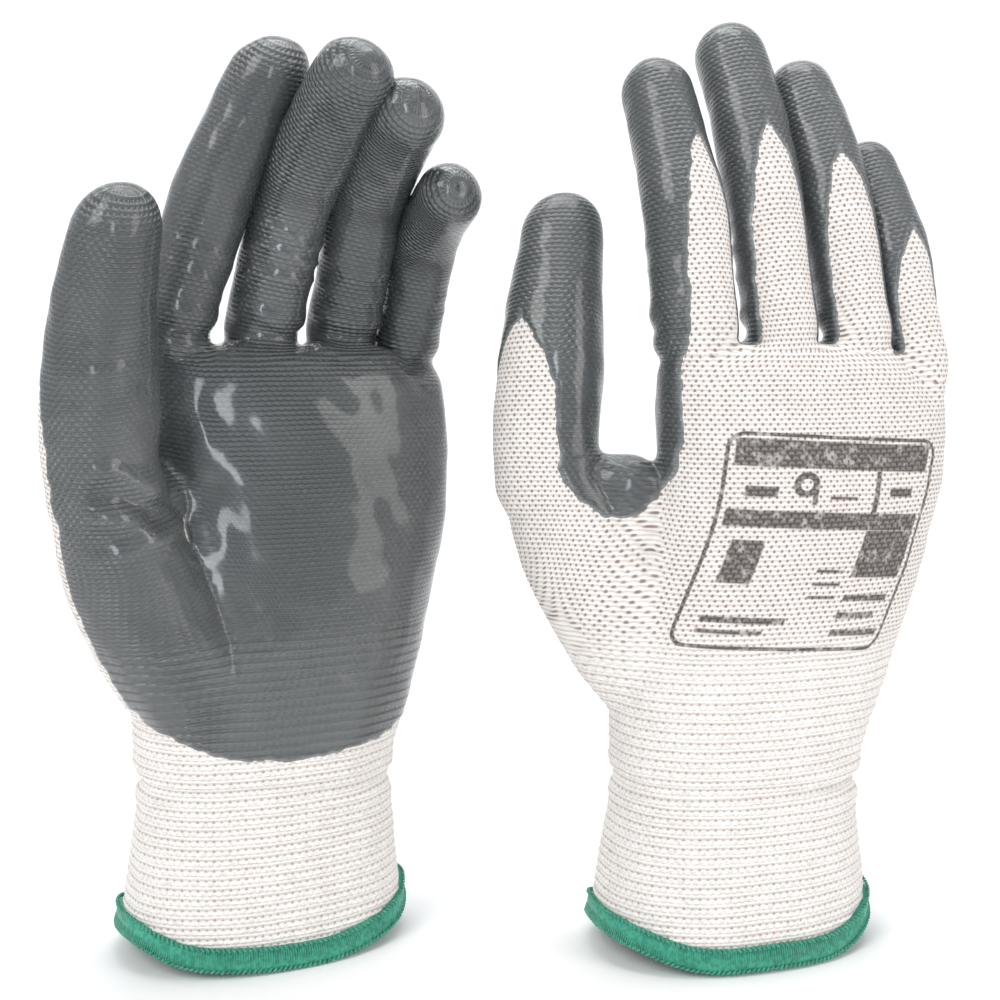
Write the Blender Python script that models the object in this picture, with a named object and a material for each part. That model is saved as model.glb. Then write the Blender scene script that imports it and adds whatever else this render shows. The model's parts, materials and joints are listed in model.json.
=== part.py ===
"""A pair of seamless knitted work gloves with dipped palms, standing side by side on their hems.

Each glove is a knitted liner with a ribbed cuff, an overlocked hem and a dipped coat over the palm,
finger fronts and fingertips. The wrist, and the base and middle of each digit, bend at a round gap
about the bend's axis: the moving shell's end lies inside the cylinder of that gap, and the fixed
shell's end lies outside it.

Every shape is worked out in one glove's own frame (x, p, z): x across the hand with the thumb side
negative, p out of the palm, z up from the hem. A glove's facing turns p into Blender's Y, so the
left glove (facing -1) shows its palm to -Y and the right glove (facing +1) shows its back to -Y.
"""

import math
from collections import namedtuple

import bmesh
import bpy
from mathutils import Matrix, Vector

MM = 0.001

# Fabric and clearances.
LINER_WALL = 1.2 * MM
COAT_WALL = 0.7 * MM
PRINT_WALL = 0.3 * MM
SKIN_GAP = 0.3 * MM
JOINT_GAP = 0.5 * MM
COAT_OUT = SKIN_GAP + COAT_WALL

# Mesh density.
TRUNK_POINTS = 20
DIGIT_POINTS = 12
CYLINDER_POINTS = 20

# The trunk, from the hem up to the webs between the fingers.
HEM_HEIGHT = 6.4 * MM
HEM_WALL = 1.1 * MM
HEM_RISE = 6.0 * MM
HEM_FLARE = 4.6 * MM
CUFF_HALF_WIDTH = 34.4 * MM
CUFF_HALF_DEPTH = 23.5 * MM
WRIST_HEIGHT = 43 * MM
WRIST_BEND = 25
PALM_LENGTH = 117 * MM
PALM_HALF_WIDTH = 41.5 * MM
PALM_HALF_DEPTH = 21.5 * MM
WEB_HEIGHT = WRIST_HEIGHT + PALM_LENGTH
WEB_DROP = 7 * MM
WEB_DROP_X = (0.38 * PALM_HALF_WIDTH, 0.82 * PALM_HALF_WIDTH)
WEB_DROP_Z = WRIST_HEIGHT + 0.66 * PALM_LENGTH
TRUNK_ROUNDNESS = 2.3
Station = namedtuple("Station", "z x p half_width half_depth")


def cuff_station(share, x, flare):
    """A section of the cuff, from 0 at the hem to 1 at the wrist, flared by a share of the hem's flare."""
    out = flare * HEM_FLARE
    return Station(share * WRIST_HEIGHT, x, 0, CUFF_HALF_WIDTH + out, CUFF_HALF_DEPTH + out * 0.87)


def palm_station(share, x, p, width, depth):
    """A section of the palm, from 0 at the wrist to 1 at the webs, as shares of its width and depth."""
    z = WRIST_HEIGHT + share * PALM_LENGTH
    return Station(z, x, p, width * PALM_HALF_WIDTH, depth * PALM_HALF_DEPTH)


TRUNK = [
    cuff_station(0, 0, 1),
    cuff_station(0.33, 0.5 * MM, 0.58),
    cuff_station(0.67, 1.0 * MM, 0.2),
    cuff_station(1, 1.5 * MM, 0),
    palm_station(0.25, 3.0 * MM, 0.5 * MM, 0.915, 1.07),
    palm_station(0.47, 0, 1.0 * MM, 0.965, 1),
    palm_station(0.70, -1.5 * MM, 1.0 * MM, 1, 0.885),
    palm_station(0.88, -1.5 * MM, 1.0 * MM, 1, 0.72),
    palm_station(0.965, -1.5 * MM, 1.0 * MM, 0.965, 0.56),
    palm_station(1, -1.5 * MM, 1.0 * MM, 0.915, 0.35),
]
WRIST = TRUNK[3]

# Digits: the liner's width and depth, the lengths from bend to bend and to the tip, how far each bend
# turns back and in, and how far the row of fingers stands towards the palm.
Digit = namedtuple("Digit", "width depth proximal distal bend_base bend_middle p")
FINGER_BEND = ((-15, 65), (-12, 60))
THUMB_BEND = ((-25, 15), (-12, 40))
DIGITS = {
    "thumb": Digit(23.0 * MM, 21.0 * MM, 30 * MM, 40 * MM, *THUMB_BEND, 18 * MM),
    "index": Digit(19.2 * MM, 18.4 * MM, 25 * MM, 43 * MM, *FINGER_BEND, 2.5 * MM),
    "middle": Digit(19.6 * MM, 18.8 * MM, 29 * MM, 47 * MM, *FINGER_BEND, 3.0 * MM),
    "ring": Digit(18.8 * MM, 18.0 * MM, 27 * MM, 43 * MM, *FINGER_BEND, 2.5 * MM),
    "little": Digit(16.4 * MM, 16.0 * MM, 22 * MM, 34 * MM, *FINGER_BEND, 1.5 * MM),
}
FINGERS = ("index", "middle", "ring", "little")
FINGER_AIR = 1.2 * MM
FINGER_ROW_X = 0.3 * MM
WEB_CLEARANCE = 2.4 * MM
TIP_NARROWING = 0.82
TIP_RINGS = (35, 65)
FINGER_ROOT = 20 * MM
THUMB_OUT = 16.5 * MM
THUMB_RISE = 90 * MM
THUMB_ROOT = ((-17 * MM, 4 * MM, WRIST_HEIGHT + 31 * MM), 19 * MM, 18 * MM)
THUMB_BEND_TURN = 15

# How each glove is shaped at rest. Its hand sways towards the little finger above the wrist, and
# each digit has a shift sideways in mm, then its lean and its three curls in degrees.
PAIR_Y = 8.03 * MM
SWAY_Z = (WRIST_HEIGHT + 0.04 * PALM_LENGTH, WRIST_HEIGHT + 0.73 * PALM_LENGTH)
Rest = namedtuple("Rest", "shift lean base middle end")
Glove = namedtuple("Glove", "facing place turn sway digits")
GLOVES = {
    "left": Glove(-1, -75.2 * MM, 26, 14 * MM, {
        "thumb": Rest(-1 * MM, -6, 10, 6, 8),
        "index": Rest(0.2 * MM, 12, 8, 10, 14),
        "middle": Rest(0 * MM, 9, 16, 18, 22),
        "ring": Rest(0 * MM, 6, 18, 20, 24),
        "little": Rest(0 * MM, 3, 18, 20, 24),
    }),
    "right": Glove(1, 53.8 * MM, 19, 22 * MM, {
        "thumb": Rest(-11.5 * MM, 0.5, 6, 6, 8),
        "index": Rest(0 * MM, -2, 9, 10, 12),
        "middle": Rest(1.5 * MM, -4, 9, 8, 12),
        "ring": Rest(2 * MM, -5, 12, 10, 12),
        "little": Rest(2.2 * MM, -6, 14, 10, 12),
    }),
}

# Where the coat ends.
COAT_ARC = 120
THUMB_COAT_TURN = 30
TONGUE_LENGTH = {"thumb": 6 * MM, "index": 18 * MM, "middle": 19 * MM, "ring": 18 * MM, "little": 14 * MM}
COAT_LOW = WRIST_HEIGHT + 14 * MM
COAT_THUMB_LOW = WRIST_HEIGHT + 53 * MM
COAT_EDGE = (
    (-52 * MM, COAT_THUMB_LOW + 12 * MM), (-38 * MM, COAT_THUMB_LOW - 12 * MM),
    (-22 * MM, COAT_LOW + 12 * MM), (-8 * MM, COAT_LOW + 1 * MM),
    (10 * MM, COAT_LOW - 2 * MM), (30 * MM, COAT_LOW),
)
COAT_BACK = -0.5 * MM
THUMB_ROOT_BARE = 60 * MM
THUMB_BARE_WIDTH = 42 * MM
THUMB_BARE_DEPTH = 45 * MM

# The size print on the back of the hand.
PRINT_REACH = 54
PRINT_Z = (WRIST_HEIGHT + 0.35 * PALM_LENGTH, WRIST_HEIGHT + 0.83 * PALM_LENGTH)


def radians(*angles):
    return tuple(math.radians(angle) for angle in angles)


def clear_scene():
    for obj in list(bpy.data.objects):
        bpy.data.objects.remove(obj)


def finish(name, colour, roughness):
    material = bpy.data.materials.new(name)
    material.use_nodes = True
    shader = material.node_tree.nodes["Principled BSDF"]
    shader.inputs["Base Color"].default_value = (*colour, 1)
    shader.inputs["Roughness"].default_value = roughness
    shader.inputs["Metallic"].default_value = 0
    return material


# ---------------------------------------------------------------- sections and paths


def trunk_at(z):
    """The trunk's section at height z, eased between the stations on either side."""
    if z <= TRUNK[0].z:
        return TRUNK[0]
    for low, high in zip(TRUNK, TRUNK[1:]):
        if z <= high.z:
            share = (z - low.z) / (high.z - low.z)
            return Station(*(a + (b - a) * share for a, b in zip(low, high)))
    return TRUNK[-1]


def around(count, reach=180, middle=90):
    """Angles about a section, where 90 degrees points out of the palm. A part arc reaches each way
    from its middle by the whole circle's own steps, so that its flats lie over those it covers."""
    step = 360 / count
    if reach == 180:
        return radians(*(step * i for i in range(count)))
    each_way = round(reach / step)
    return radians(*(middle + step * i for i in range(-each_way, each_way + 1)))


def superellipse(angle, half_width, half_depth, roundness):
    c, s = math.cos(angle), math.sin(angle)
    across = half_width * math.copysign(abs(c) ** (2 / roundness), c)
    out = half_depth * math.copysign(abs(s) ** (2 / roundness), s)
    return across, out


def ease(value, start, end):
    share = min(1, max(0, (value - start) / (end - start)))
    return share * share * (3 - 2 * share)


def sway_at(glove, z):
    return glove.sway * ease(z, *SWAY_Z)


def web_drop(x):
    """How far the webs lie lower, towards the little finger."""
    return WEB_DROP * ease(x, *WEB_DROP_X)


def trunk_point(glove, angle, z, grow):
    """A point on the trunk's wall. The trunk's top slopes down towards the little finger."""
    part = trunk_at(z)
    across, out = superellipse(
        angle, part.half_width + grow, part.half_depth + grow, TRUNK_ROUNDNESS
    )
    side = superellipse(angle, part.half_width, part.half_depth, TRUNK_ROUNDNESS)[0]
    drop = web_drop(part.x + side) * ease(z, WEB_DROP_Z, WEB_HEIGHT)
    return Vector((part.x + across + sway_at(glove, z), part.p + out, z - drop))


def bend_radius(depth, limits, rest_curl=0):
    """The radius of a bend's round gap, wide enough for the outermost skin to turn to its limit."""
    half_turn = math.radians(limits[1] + rest_curl) / 2
    return (depth / 2 + COAT_OUT) / math.cos(half_turn)


def finger_row():
    """Where the fingers' base bends lie across the hand, coat to coat with a little air between."""
    places, x = {}, 0
    for before, name in zip((None, *FINGERS), FINGERS):
        if before:
            x += (DIGITS[before].width + DIGITS[name].width) / 2 + 2 * COAT_OUT + FINGER_AIR
        places[name] = x
    return {name: place - x / 2 + FINGER_ROW_X for name, place in places.items()}


def base_bend(name):
    """The centre of a digit's base bend. A finger's gap stays clear above the web it rises from."""
    digit = DIGITS[name]
    if name == "thumb":
        return Vector((-PALM_HALF_WIDTH - THUMB_OUT, digit.p, WRIST_HEIGHT + THUMB_RISE))
    x = finger_row()[name]
    gap = bend_radius(digit.depth, digit.bend_base) + JOINT_GAP
    return Vector((x, digit.p, WEB_HEIGHT - web_drop(x) + gap + WEB_CLEARANCE))


class DigitPath:
    """One digit at rest: its two bends, its axes and its sections, in the glove's own frame."""

    def __init__(self, name, glove):
        rest = glove.digits[name]
        self.name, self.digit, self.glove = name, DIGITS[name], glove
        lean, base, middle, end = radians(*rest[1:])
        straight = Vector((math.sin(lean), 0, math.cos(lean)))
        pad = Vector((0, 1, 0))
        self.coat_middle = 90
        if name == "thumb":
            self.coat_middle -= THUMB_COAT_TURN
            turn = math.radians(THUMB_BEND_TURN)
            pad = Vector((math.sin(turn), math.cos(turn), 0))
            pad = (pad - straight * pad.dot(straight)).normalized()
        self.across = pad.cross(straight)
        self.straight, self.pad = straight, pad
        self.base = base_bend(name)
        self.base.x += rest.shift + sway_at(glove, self.base.z)
        self.end_curl = end
        self.turns = (base, base + middle)
        self.middle = self.base + self.along(self.turns[0]) * self.digit.proximal
        self.radius_base = bend_radius(self.digit.depth, self.digit.bend_base)
        middle_depth = self.digit.depth * self.width_share(self.digit.proximal)
        self.radius_middle = bend_radius(middle_depth, self.digit.bend_middle, rest.middle)

    def along(self, turn):
        return self.straight * math.cos(turn) + self.pad * math.sin(turn)

    def out(self, turn):
        return self.pad * math.cos(turn) - self.straight * math.sin(turn)

    def width_share(self, s):
        """How much narrower the digit is at s metres past its base bend."""
        length = self.digit.proximal + self.digit.distal
        return 1 - (1 - TIP_NARROWING) * max(0, s) / length

    def proximal_point(self, angle, s, grow):
        share = self.width_share(s)
        across, out = superellipse(
            angle, self.digit.width / 2 * share + grow, self.digit.depth / 2 * share + grow, 2
        )
        turn = self.turns[0]
        return self.base + self.along(turn) * s + self.across * across + self.out(turn) * out

    def distal_point(self, angle, s, grow):
        """s is measured from the middle bend, past which the distal part curls evenly to its end."""
        length = self.digit.distal + grow
        share = self.width_share(self.digit.proximal + s)
        tip = self.digit.width / 2 * TIP_NARROWING + grow
        into_tip = max(0, s - (length - tip)) / tip
        round_off = math.sqrt(max(0, 1 - into_tip * into_tip))
        across, out = superellipse(
            angle,
            (self.digit.width / 2 * share + grow) * round_off,
            (self.digit.depth / 2 * share + grow) * round_off,
            2,
        )
        bend = self.end_curl / self.digit.distal
        turn = self.turns[1] + bend * max(0, s)
        ahead, aside = s, 0
        if s > 0:
            ahead = math.sin(bend * s) / bend
            aside = (1 - math.cos(bend * s)) / bend
        centre = self.middle + self.along(self.turns[1]) * ahead + self.out(self.turns[1]) * aside
        return centre + self.across * across + self.out(turn) * out

    def depth_at(self, s, grow, angle):
        return abs(self.digit.depth / 2 * self.width_share(s) + grow) * abs(math.sin(angle))


def within(radius, out):
    """How far along its axis a tube wall meets a cylinder about the bend, at out from the axis."""
    return math.sqrt(max(0, radius * radius - out * out))


# ---------------------------------------------------------------- meshes


def grid_faces(rows, columns, first, closed):
    """Triangles over a grid of points, all split the same way, so that nested skins stay parallel."""
    faces = []
    for r in range(rows - 1):
        for c in range(columns if closed else columns - 1):
            a, b = first + r * columns + c, first + r * columns + (c + 1) % columns
            faces += [(a, b, b + columns), (a, b + columns, a + columns)]
    return faces


def shell(outer_rows, inner_rows, closed=True, outer_tip=None, inner_tip=None):
    """A wall between two grids of points. With tips, the last rows close over them."""
    rows, columns = len(outer_rows), len(outer_rows[0])
    points = [p for row in outer_rows + inner_rows for p in row]
    inner = rows * columns
    faces = grid_faces(rows, columns, 0, closed) + grid_faces(rows, columns, inner, closed)
    span = columns if closed else columns - 1
    low = [(c, (c + 1) % columns) for c in range(span)]
    faces += [(a, b, inner + b, inner + a) for a, b in low]
    last = (rows - 1) * columns
    high = [(last + a, last + b) for a, b in low]
    if outer_tip is None:
        faces += [(a, b, inner + b, inner + a) for a, b in high]
    else:
        points += [outer_tip, inner_tip]
        faces += [(a, b, len(points) - 2) for a, b in high]
        faces += [(inner + a, inner + b, len(points) - 1) for a, b in high]
    if not closed:
        for side in (0, columns - 1):
            line = [side + r * columns for r in range(rows)]
            faces += [(a, b, inner + b, inner + a) for a, b in zip(line, line[1:])]
    return points, faces


def plug(rows):
    """A solid that fills a stack of closed rings."""
    columns = len(rows[0])
    points = [p for row in rows for p in row]
    faces = grid_faces(len(rows), columns, 0, True)
    for row in (rows[0], rows[-1]):
        centre = sum(row, Vector()) / columns
        points.append(centre)
        first = 0 if row is rows[0] else (len(rows) - 1) * columns
        faces += [(first + c, first + (c + 1) % columns, len(points) - 1) for c in range(columns)]
    return points, faces


def rows_between(point, angles, low, high, count):
    """Rows of points from low to high, where both are functions of the angle."""
    shares = [i / (count - 1) for i in range(count)]
    return [
        [point(angle, low(angle) + (high(angle) - low(angle)) * share) for angle in angles]
        for share in shares
    ]


class Builder:
    """Makes one glove's objects under its own empties."""

    def __init__(self, side, glove, finishes):
        self.side, self.glove, self.finishes = side, glove, finishes
        self.root = self.empty("place", None, Matrix.Identity(4))
        self.root.location = (glove.place, PAIR_Y, 0)
        self.root.rotation_euler = (0, 0, math.radians(glove.turn))
        self.helpers = bpy.data.collections.new(f"{side}_helpers")
        bpy.context.scene.collection.children.link(self.helpers)

    def to_glove(self, point):
        return Vector((point[0], self.glove.facing * point[1], point[2]))

    def empty(self, name, parent, matrix):
        """An empty at a matrix in the glove's frame. It keeps that matrix for what is put under it."""
        obj = bpy.data.objects.new(f"{self.side}_{name}", None)
        bpy.context.scene.collection.objects.link(obj)
        obj.empty_display_size = 10 * MM
        obj.parent = parent
        obj["rest"] = [value for row in matrix for value in row]
        above = self.rest_of(parent) if parent else Matrix.Identity(4)
        obj.matrix_local = above.inverted() @ matrix
        return obj

    @staticmethod
    def rest_of(empty):
        flat = list(empty["rest"])
        return Matrix([flat[i : i + 4] for i in range(0, 16, 4)])

    def bend(self, name, parent, centre, along, out):
        """An empty on a bend, whose X axis is the one that a positive turn curls towards the palm."""
        along, out = self.to_glove(along), self.to_glove(out)
        axis = along.cross(out).normalized()
        turned = Matrix((axis, along.cross(axis).normalized(), along.normalized())).transposed()
        return self.empty(name, parent, Matrix.Translation(self.to_glove(centre)) @ turned.to_4x4())

    def solid(self, name, shape, slot, parent):
        points, faces = shape
        mesh = bpy.data.meshes.new(f"{self.side}_{name}")
        mesh.from_pydata([self.to_glove(p) for p in points], [], faces)
        work = bmesh.new()
        work.from_mesh(mesh)
        bmesh.ops.recalc_face_normals(work, faces=work.faces)
        if work.calc_volume(signed=True) < 0:
            bmesh.ops.reverse_faces(work, faces=work.faces)
        work.to_mesh(mesh)
        work.free()
        mesh.transform(self.rest_of(parent).inverted())
        mesh.shade_smooth()
        mesh.set_sharp_from_angle(angle=math.radians(40))
        obj = bpy.data.objects.new(f"{self.side}_{name}", mesh)
        if slot:
            mesh.materials.append(self.finishes[slot])
            bpy.context.scene.collection.objects.link(obj)
        else:
            self.helpers.objects.link(obj)
            obj.hide_render = True
            obj.display_type = "WIRE"
        obj.parent = parent
        return obj

    def combine(self, obj, operation, others):
        """Adds or takes away all the others at once, so that their shared edges are worked out together."""
        group = bpy.data.collections.new(f"{obj.name}_{operation.lower()}")
        self.helpers.children.link(group)
        for other in others:
            group.objects.link(other)
        modifier = obj.modifiers.new(operation, "BOOLEAN")
        modifier.operation = operation
        modifier.operand_type = "COLLECTION"
        modifier.collection = group
        modifier.solver = "EXACT"


# ---------------------------------------------------------------- cuff and hem


def hem_lift(x):
    """How far the hem rises towards the cuff's two sides. The front and back stay flat."""
    return HEM_RISE * ease(abs(x) / TRUNK[0].half_width, 0.55, 1)


def wrist_radius():
    deepest = WRIST.half_depth + COAT_OUT
    return deepest / math.cos(math.radians(WRIST_BEND)) + JOINT_GAP


def make_cuff(builder, parent):
    """The ribbed cuff, whose lower edge stands in the hem and whose top is round about the wrist."""
    angles = around(TRUNK_POINTS)
    glove, radius = builder.glove, wrist_radius()

    def wall(grow):
        def low(angle):
            return HEM_WALL + SKIN_GAP + hem_lift(trunk_point(glove, angle, 0, 0).x)

        def high(angle):
            return WRIST_HEIGHT + within(radius, trunk_point(glove, angle, WRIST_HEIGHT, grow).y)

        return rows_between(lambda a, z: trunk_point(glove, a, z, grow), angles, low, high, 5)

    return builder.solid("cuff", shell(wall(0), wall(-LINER_WALL)), "knit", parent)


def make_hem(builder, parent):
    """A U-shaped overlocked edge that holds the cuff's lower edge, flat underneath front and back."""
    out, inn = SKIN_GAP + HEM_WALL, -LINER_WALL - SKIN_GAP - HEM_WALL
    slot_out, slot_in = SKIN_GAP, -LINER_WALL - SKIN_GAP
    top, shoulder, floor = HEM_HEIGHT, HEM_HEIGHT * 0.45, HEM_WALL
    section = [
        (slot_out, floor), (slot_out, top), (out * 0.75, top), (out, shoulder), (out * 0.8, 0),
        (inn * 0.92, 0), (inn, shoulder), (inn * 0.92, top), (slot_in, top), (slot_in, floor),
    ]
    columns = around(TRUNK_POINTS)
    points = []
    for grow, height in section:
        for angle in columns:
            lift = hem_lift(trunk_point(builder.glove, angle, 0, 0).x)
            points.append(trunk_point(builder.glove, angle, height + lift, grow))
    faces = grid_faces(len(section), TRUNK_POINTS, 0, True)
    last = (len(section) - 1) * TRUNK_POINTS
    for c in range(TRUNK_POINTS):
        d = (c + 1) % TRUNK_POINTS
        faces.append((last + c, last + d, d, c))
    return builder.solid("hem", (points, faces), "hem_thread", parent)


# ---------------------------------------------------------------- hand


def trunk_solid(glove, grow):
    """The whole hand's outer shape, or its hollow, from below the wrist up to the webs."""
    heights = [WRIST_HEIGHT] + [part.z for part in TRUNK if part.z > WRIST_HEIGHT]
    heights[-1] += grow
    return [[trunk_point(glove, a, z, grow) for a in around(TRUNK_POINTS)] for z in heights]


def root_rows(path, grow, past):
    """The stub that carries a digit, from inside the hand to the middle of its base bend."""
    if path.name != "thumb":
        point = path.proximal_point
        stations = [-FINGER_ROOT - grow, -FINGER_ROOT / 2, past]
        return [[point(a, s, grow) for a in around(DIGIT_POINTS)] for s in stations]
    x, p, z = THUMB_ROOT[0]
    start = Vector((x + sway_at(path.glove, z), p, z))
    half_width, half_depth = THUMB_ROOT[1:]
    rows = [[path.proximal_point(a, s, grow) for a in around(DIGIT_POINTS)] for s in (past, -1 * MM)]
    axis = (path.base - start).normalized()
    start -= axis * grow
    for share in (0.55, 0):
        centre = start.lerp(path.base, share)
        wide = half_width + (path.digit.width / 2 - half_width) * share + grow
        deep = half_depth + (path.digit.depth / 2 - half_depth) * share + grow
        out = (path.pad - axis * path.pad.dot(axis)).normalized()
        across = out.cross(axis)
        ring = []
        for angle in around(DIGIT_POINTS):
            u, v = superellipse(angle, wide, deep, 2)
            ring.append(centre + across * u + out * v)
        rows.append(ring)
    return rows


def bend_cutter(builder, name, centre, across, out, along, radius, half_length):
    """A cylinder along a bend's axis, which clears the way for what turns inside it."""
    rows = []
    for side in (-half_length, half_length):
        ring = []
        for i in range(CYLINDER_POINTS):
            turn = 2 * math.pi * i / CYLINDER_POINTS
            ring.append(centre + across * side + (out * math.cos(turn) + along * math.sin(turn)) * radius)
        rows.append(ring)
    return builder.solid(name, plug(rows), None, builder.root)


def digit_cutters(builder, paths, layer):
    cutters = []
    for path in paths:
        turn = path.turns[0]
        # A cylinder of flat facets is circumscribed, so that no facet reaches into the gap.
        radius = (path.radius_base + JOINT_GAP) / math.cos(math.pi / CYLINDER_POINTS)
        reach = path.digit.width / 2 + COAT_OUT + SKIN_GAP
        cutters.append(
            bend_cutter(
                builder, f"{path.name}_{layer}_bend", path.base, path.across,
                path.out(turn), path.along(turn), radius, reach,
            )
        )
    return cutters


def wrist_cutter(builder, layer):
    centre = Vector((WRIST.x, WRIST.p, WRIST.z))
    radius = (wrist_radius() + JOINT_GAP) / math.cos(math.pi / CYLINDER_POINTS)
    return bend_cutter(
        builder, f"wrist_{layer}_bend", centre, Vector((1, 0, 0)), Vector((0, 1, 0)),
        Vector((0, 0, 1)), radius, 2 * WRIST.half_width,
    )


def add_layer(builder, name, paths, outer, inner, slot, parent, windows=()):
    """A skin of the hand between two amounts of growth, open at the wrist and at every digit."""
    overrun = 4 * MM
    body = builder.solid(name, plug(trunk_solid(builder.glove, outer)), slot, parent)
    stubs = [
        builder.solid(f"{p.name}_{name}_stub", plug(root_rows(p, outer, 0)), None, builder.root)
        for p in paths
    ]
    hollow = trunk_solid(builder.glove, inner)
    hollow[0] = [point - Vector((0, 0, overrun)) for point in hollow[0]]
    voids = [builder.solid(f"{name}_void", plug(hollow), None, builder.root)]
    voids += [
        builder.solid(f"{p.name}_{name}_void", plug(root_rows(p, inner, overrun)), None, builder.root)
        for p in paths
    ]
    voids += digit_cutters(builder, paths, name) + [wrist_cutter(builder, name)]
    builder.combine(body, "UNION", stubs)
    builder.combine(body, "DIFFERENCE", voids + list(windows))


def coat_window(builder, thumb):
    """Cutters that take the coat off the wrist, the back of the hand and the back of the thumb's root."""
    wide, deep, tall = 90 * MM, 60 * MM, 230 * MM
    outline = [(-wide, COAT_THUMB_LOW + 20 * MM), *COAT_EDGE, (wide, COAT_LOW + 6 * MM)]
    outline += [(wide, -tall), (-wide, -tall)]
    low = [Vector((x, -deep, z)) for x, z in outline]
    high = [Vector((p.x, deep, p.z)) for p in low]
    below = builder.solid("coat_below", plug([low, high]), None, builder.root)
    # The back's window: everything behind a sloped plane that leans with the hand's side.
    corners = [(-wide, -deep), (wide, -deep), (wide, COAT_BACK - 1 * MM), (-wide, COAT_BACK)]
    rows = [[Vector((x, p, z)) for x, p in corners] for z in (-tall, tall)]
    behind = builder.solid("coat_behind", plug(rows), None, builder.root)
    edge = -(thumb.digit.depth / 2 + COAT_OUT) * math.cos(math.radians(180 - COAT_ARC))
    turn = thumb.turns[0]
    coat_turn = math.radians(90 - thumb.coat_middle)
    front = thumb.out(turn) * math.cos(coat_turn) + thumb.across * math.sin(coat_turn)
    side = thumb.across * math.cos(coat_turn) - thumb.out(turn) * math.sin(coat_turn)
    half = THUMB_BARE_WIDTH / 2
    corners = [(-half, edge - THUMB_BARE_DEPTH), (half, edge - THUMB_BARE_DEPTH), (half, edge), (-half, edge)]
    rows = [
        [thumb.base + thumb.along(turn) * s + side * across + front * out for across, out in corners]
        for s in (-THUMB_ROOT_BARE, 20 * MM)
    ]
    thumb_back = builder.solid("coat_thumb_back", plug(rows), None, builder.root)
    return [below, behind, thumb_back]


def make_print(builder, parent):
    """The thin film of ink on the back of the hand, which lies over the liner's own flats."""
    angles = around(TRUNK_POINTS, PRINT_REACH, 270)
    low, high = PRINT_Z
    heights = [low] + [part.z for part in TRUNK if low < part.z < high] + [high]

    def film(grow):
        return [[trunk_point(builder.glove, a, z, grow) for a in angles] for z in heights]

    shape = shell(film(2 * SKIN_GAP + PRINT_WALL), film(2 * SKIN_GAP), closed=False)
    builder.solid("size_print", shape, "ink", parent)


# ---------------------------------------------------------------- digits


def make_proximal(builder, path, parent):
    """The digit's base: the liner all round, and the coat over its palm side and flanks."""
    length, low_radius = path.digit.proximal, path.radius_base
    high_radius = path.radius_middle + JOINT_GAP

    def wall(grow, angles, count):
        def low(angle):
            return -within(low_radius, path.depth_at(0, grow, angle))

        def high(angle):
            return length - within(high_radius, path.depth_at(length, grow, angle))

        return rows_between(lambda a, s: path.proximal_point(a, s, grow), angles, low, high, count)

    full = around(DIGIT_POINTS)
    part = around(DIGIT_POINTS, COAT_ARC, path.coat_middle)
    liner = shell(wall(0, full, 3), wall(-LINER_WALL, full, 3))
    builder.solid(f"{path.name}_base_liner", liner, "knit", parent)
    coat = shell(wall(COAT_OUT, part, 3), wall(SKIN_GAP, part, 3), closed=False)
    builder.solid(f"{path.name}_base_coat", coat, "coat", parent)


def tongue_edge(path, angle):
    """Where the coat starts along the digit's end: at the bend in front, past the bare tongue behind."""
    behind = abs((math.degrees(angle) - path.coat_middle) % 360 - 180)
    return TONGUE_LENGTH[path.name] * ease(180 - COAT_ARC + 20 - behind, 0, 40)


def make_distal(builder, path, parent):
    """The digit's end: a closed liner, and a coat that covers the fingertip all round."""
    angles = around(DIGIT_POINTS)
    proximal = path.digit.proximal

    def wall(grow, tongue):
        body_end = path.digit.distal - path.digit.width * TIP_NARROWING / 2
        top = path.digit.distal + grow

        def low(angle):
            return tongue(angle) - within(path.radius_middle, path.depth_at(proximal, grow, angle))

        rows = rows_between(
            lambda a, s: path.distal_point(a, s, grow), angles, low, lambda a: body_end, 4
        )
        for turn in radians(*TIP_RINGS):
            station = body_end + (top - body_end) * math.sin(turn)
            rows.append([path.distal_point(a, station, grow) for a in angles])
        return rows, path.distal_point(0, top, grow)

    def tongue(angle):
        return tongue_edge(path, angle)

    for part, grow, thick, start, slot in (
        ("tip_liner", 0, LINER_WALL, lambda a: 0, "knit"),
        ("tip_coat", COAT_OUT, COAT_WALL, tongue, "coat"),
    ):
        outer, outer_tip = wall(grow, start)
        inner, inner_tip = wall(grow - thick, start)
        shape = shell(outer, inner, outer_tip=outer_tip, inner_tip=inner_tip)
        builder.solid(f"{path.name}_{part}", shape, slot, parent)


def make_glove(side, glove, finishes):
    builder = Builder(side, glove, finishes)
    make_cuff(builder, builder.root)
    make_hem(builder, builder.root)
    wrist = Vector((WRIST.x, WRIST.p, WRIST.z))
    hand = builder.bend("wrist", builder.root, wrist, Vector((0, 0, 1)), Vector((0, 1, 0)))
    paths = [DigitPath(name, glove) for name in DIGITS]
    add_layer(builder, "palm_liner", paths, 0, -LINER_WALL, "knit", hand)
    add_layer(builder, "palm_coat", paths, COAT_OUT, SKIN_GAP, "coat", hand, coat_window(builder, paths[0]))
    make_print(builder, hand)
    for path in paths:
        low = builder.bend(
            f"{path.name}_base", hand, path.base, path.along(path.turns[0]), path.out(path.turns[0])
        )
        high = builder.bend(
            f"{path.name}_middle", low, path.middle, path.along(path.turns[1]), path.out(path.turns[1])
        )
        make_proximal(builder, path, low)
        make_distal(builder, path, high)


def main():
    clear_scene()
    finishes = {
        "knit": finish("white_knit", (0.86, 0.83, 0.80), 0.85),
        "coat": finish("grey_coat", (0.13, 0.145, 0.15), 0.32),
        "hem_thread": finish("green_thread", (0.03, 0.33, 0.21), 0.7),
        "ink": finish("dark_ink", (0.12, 0.10, 0.09), 0.8),
    }
    for side, glove in GLOVES.items():
        make_glove(side, glove, finishes)


main()
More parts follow.
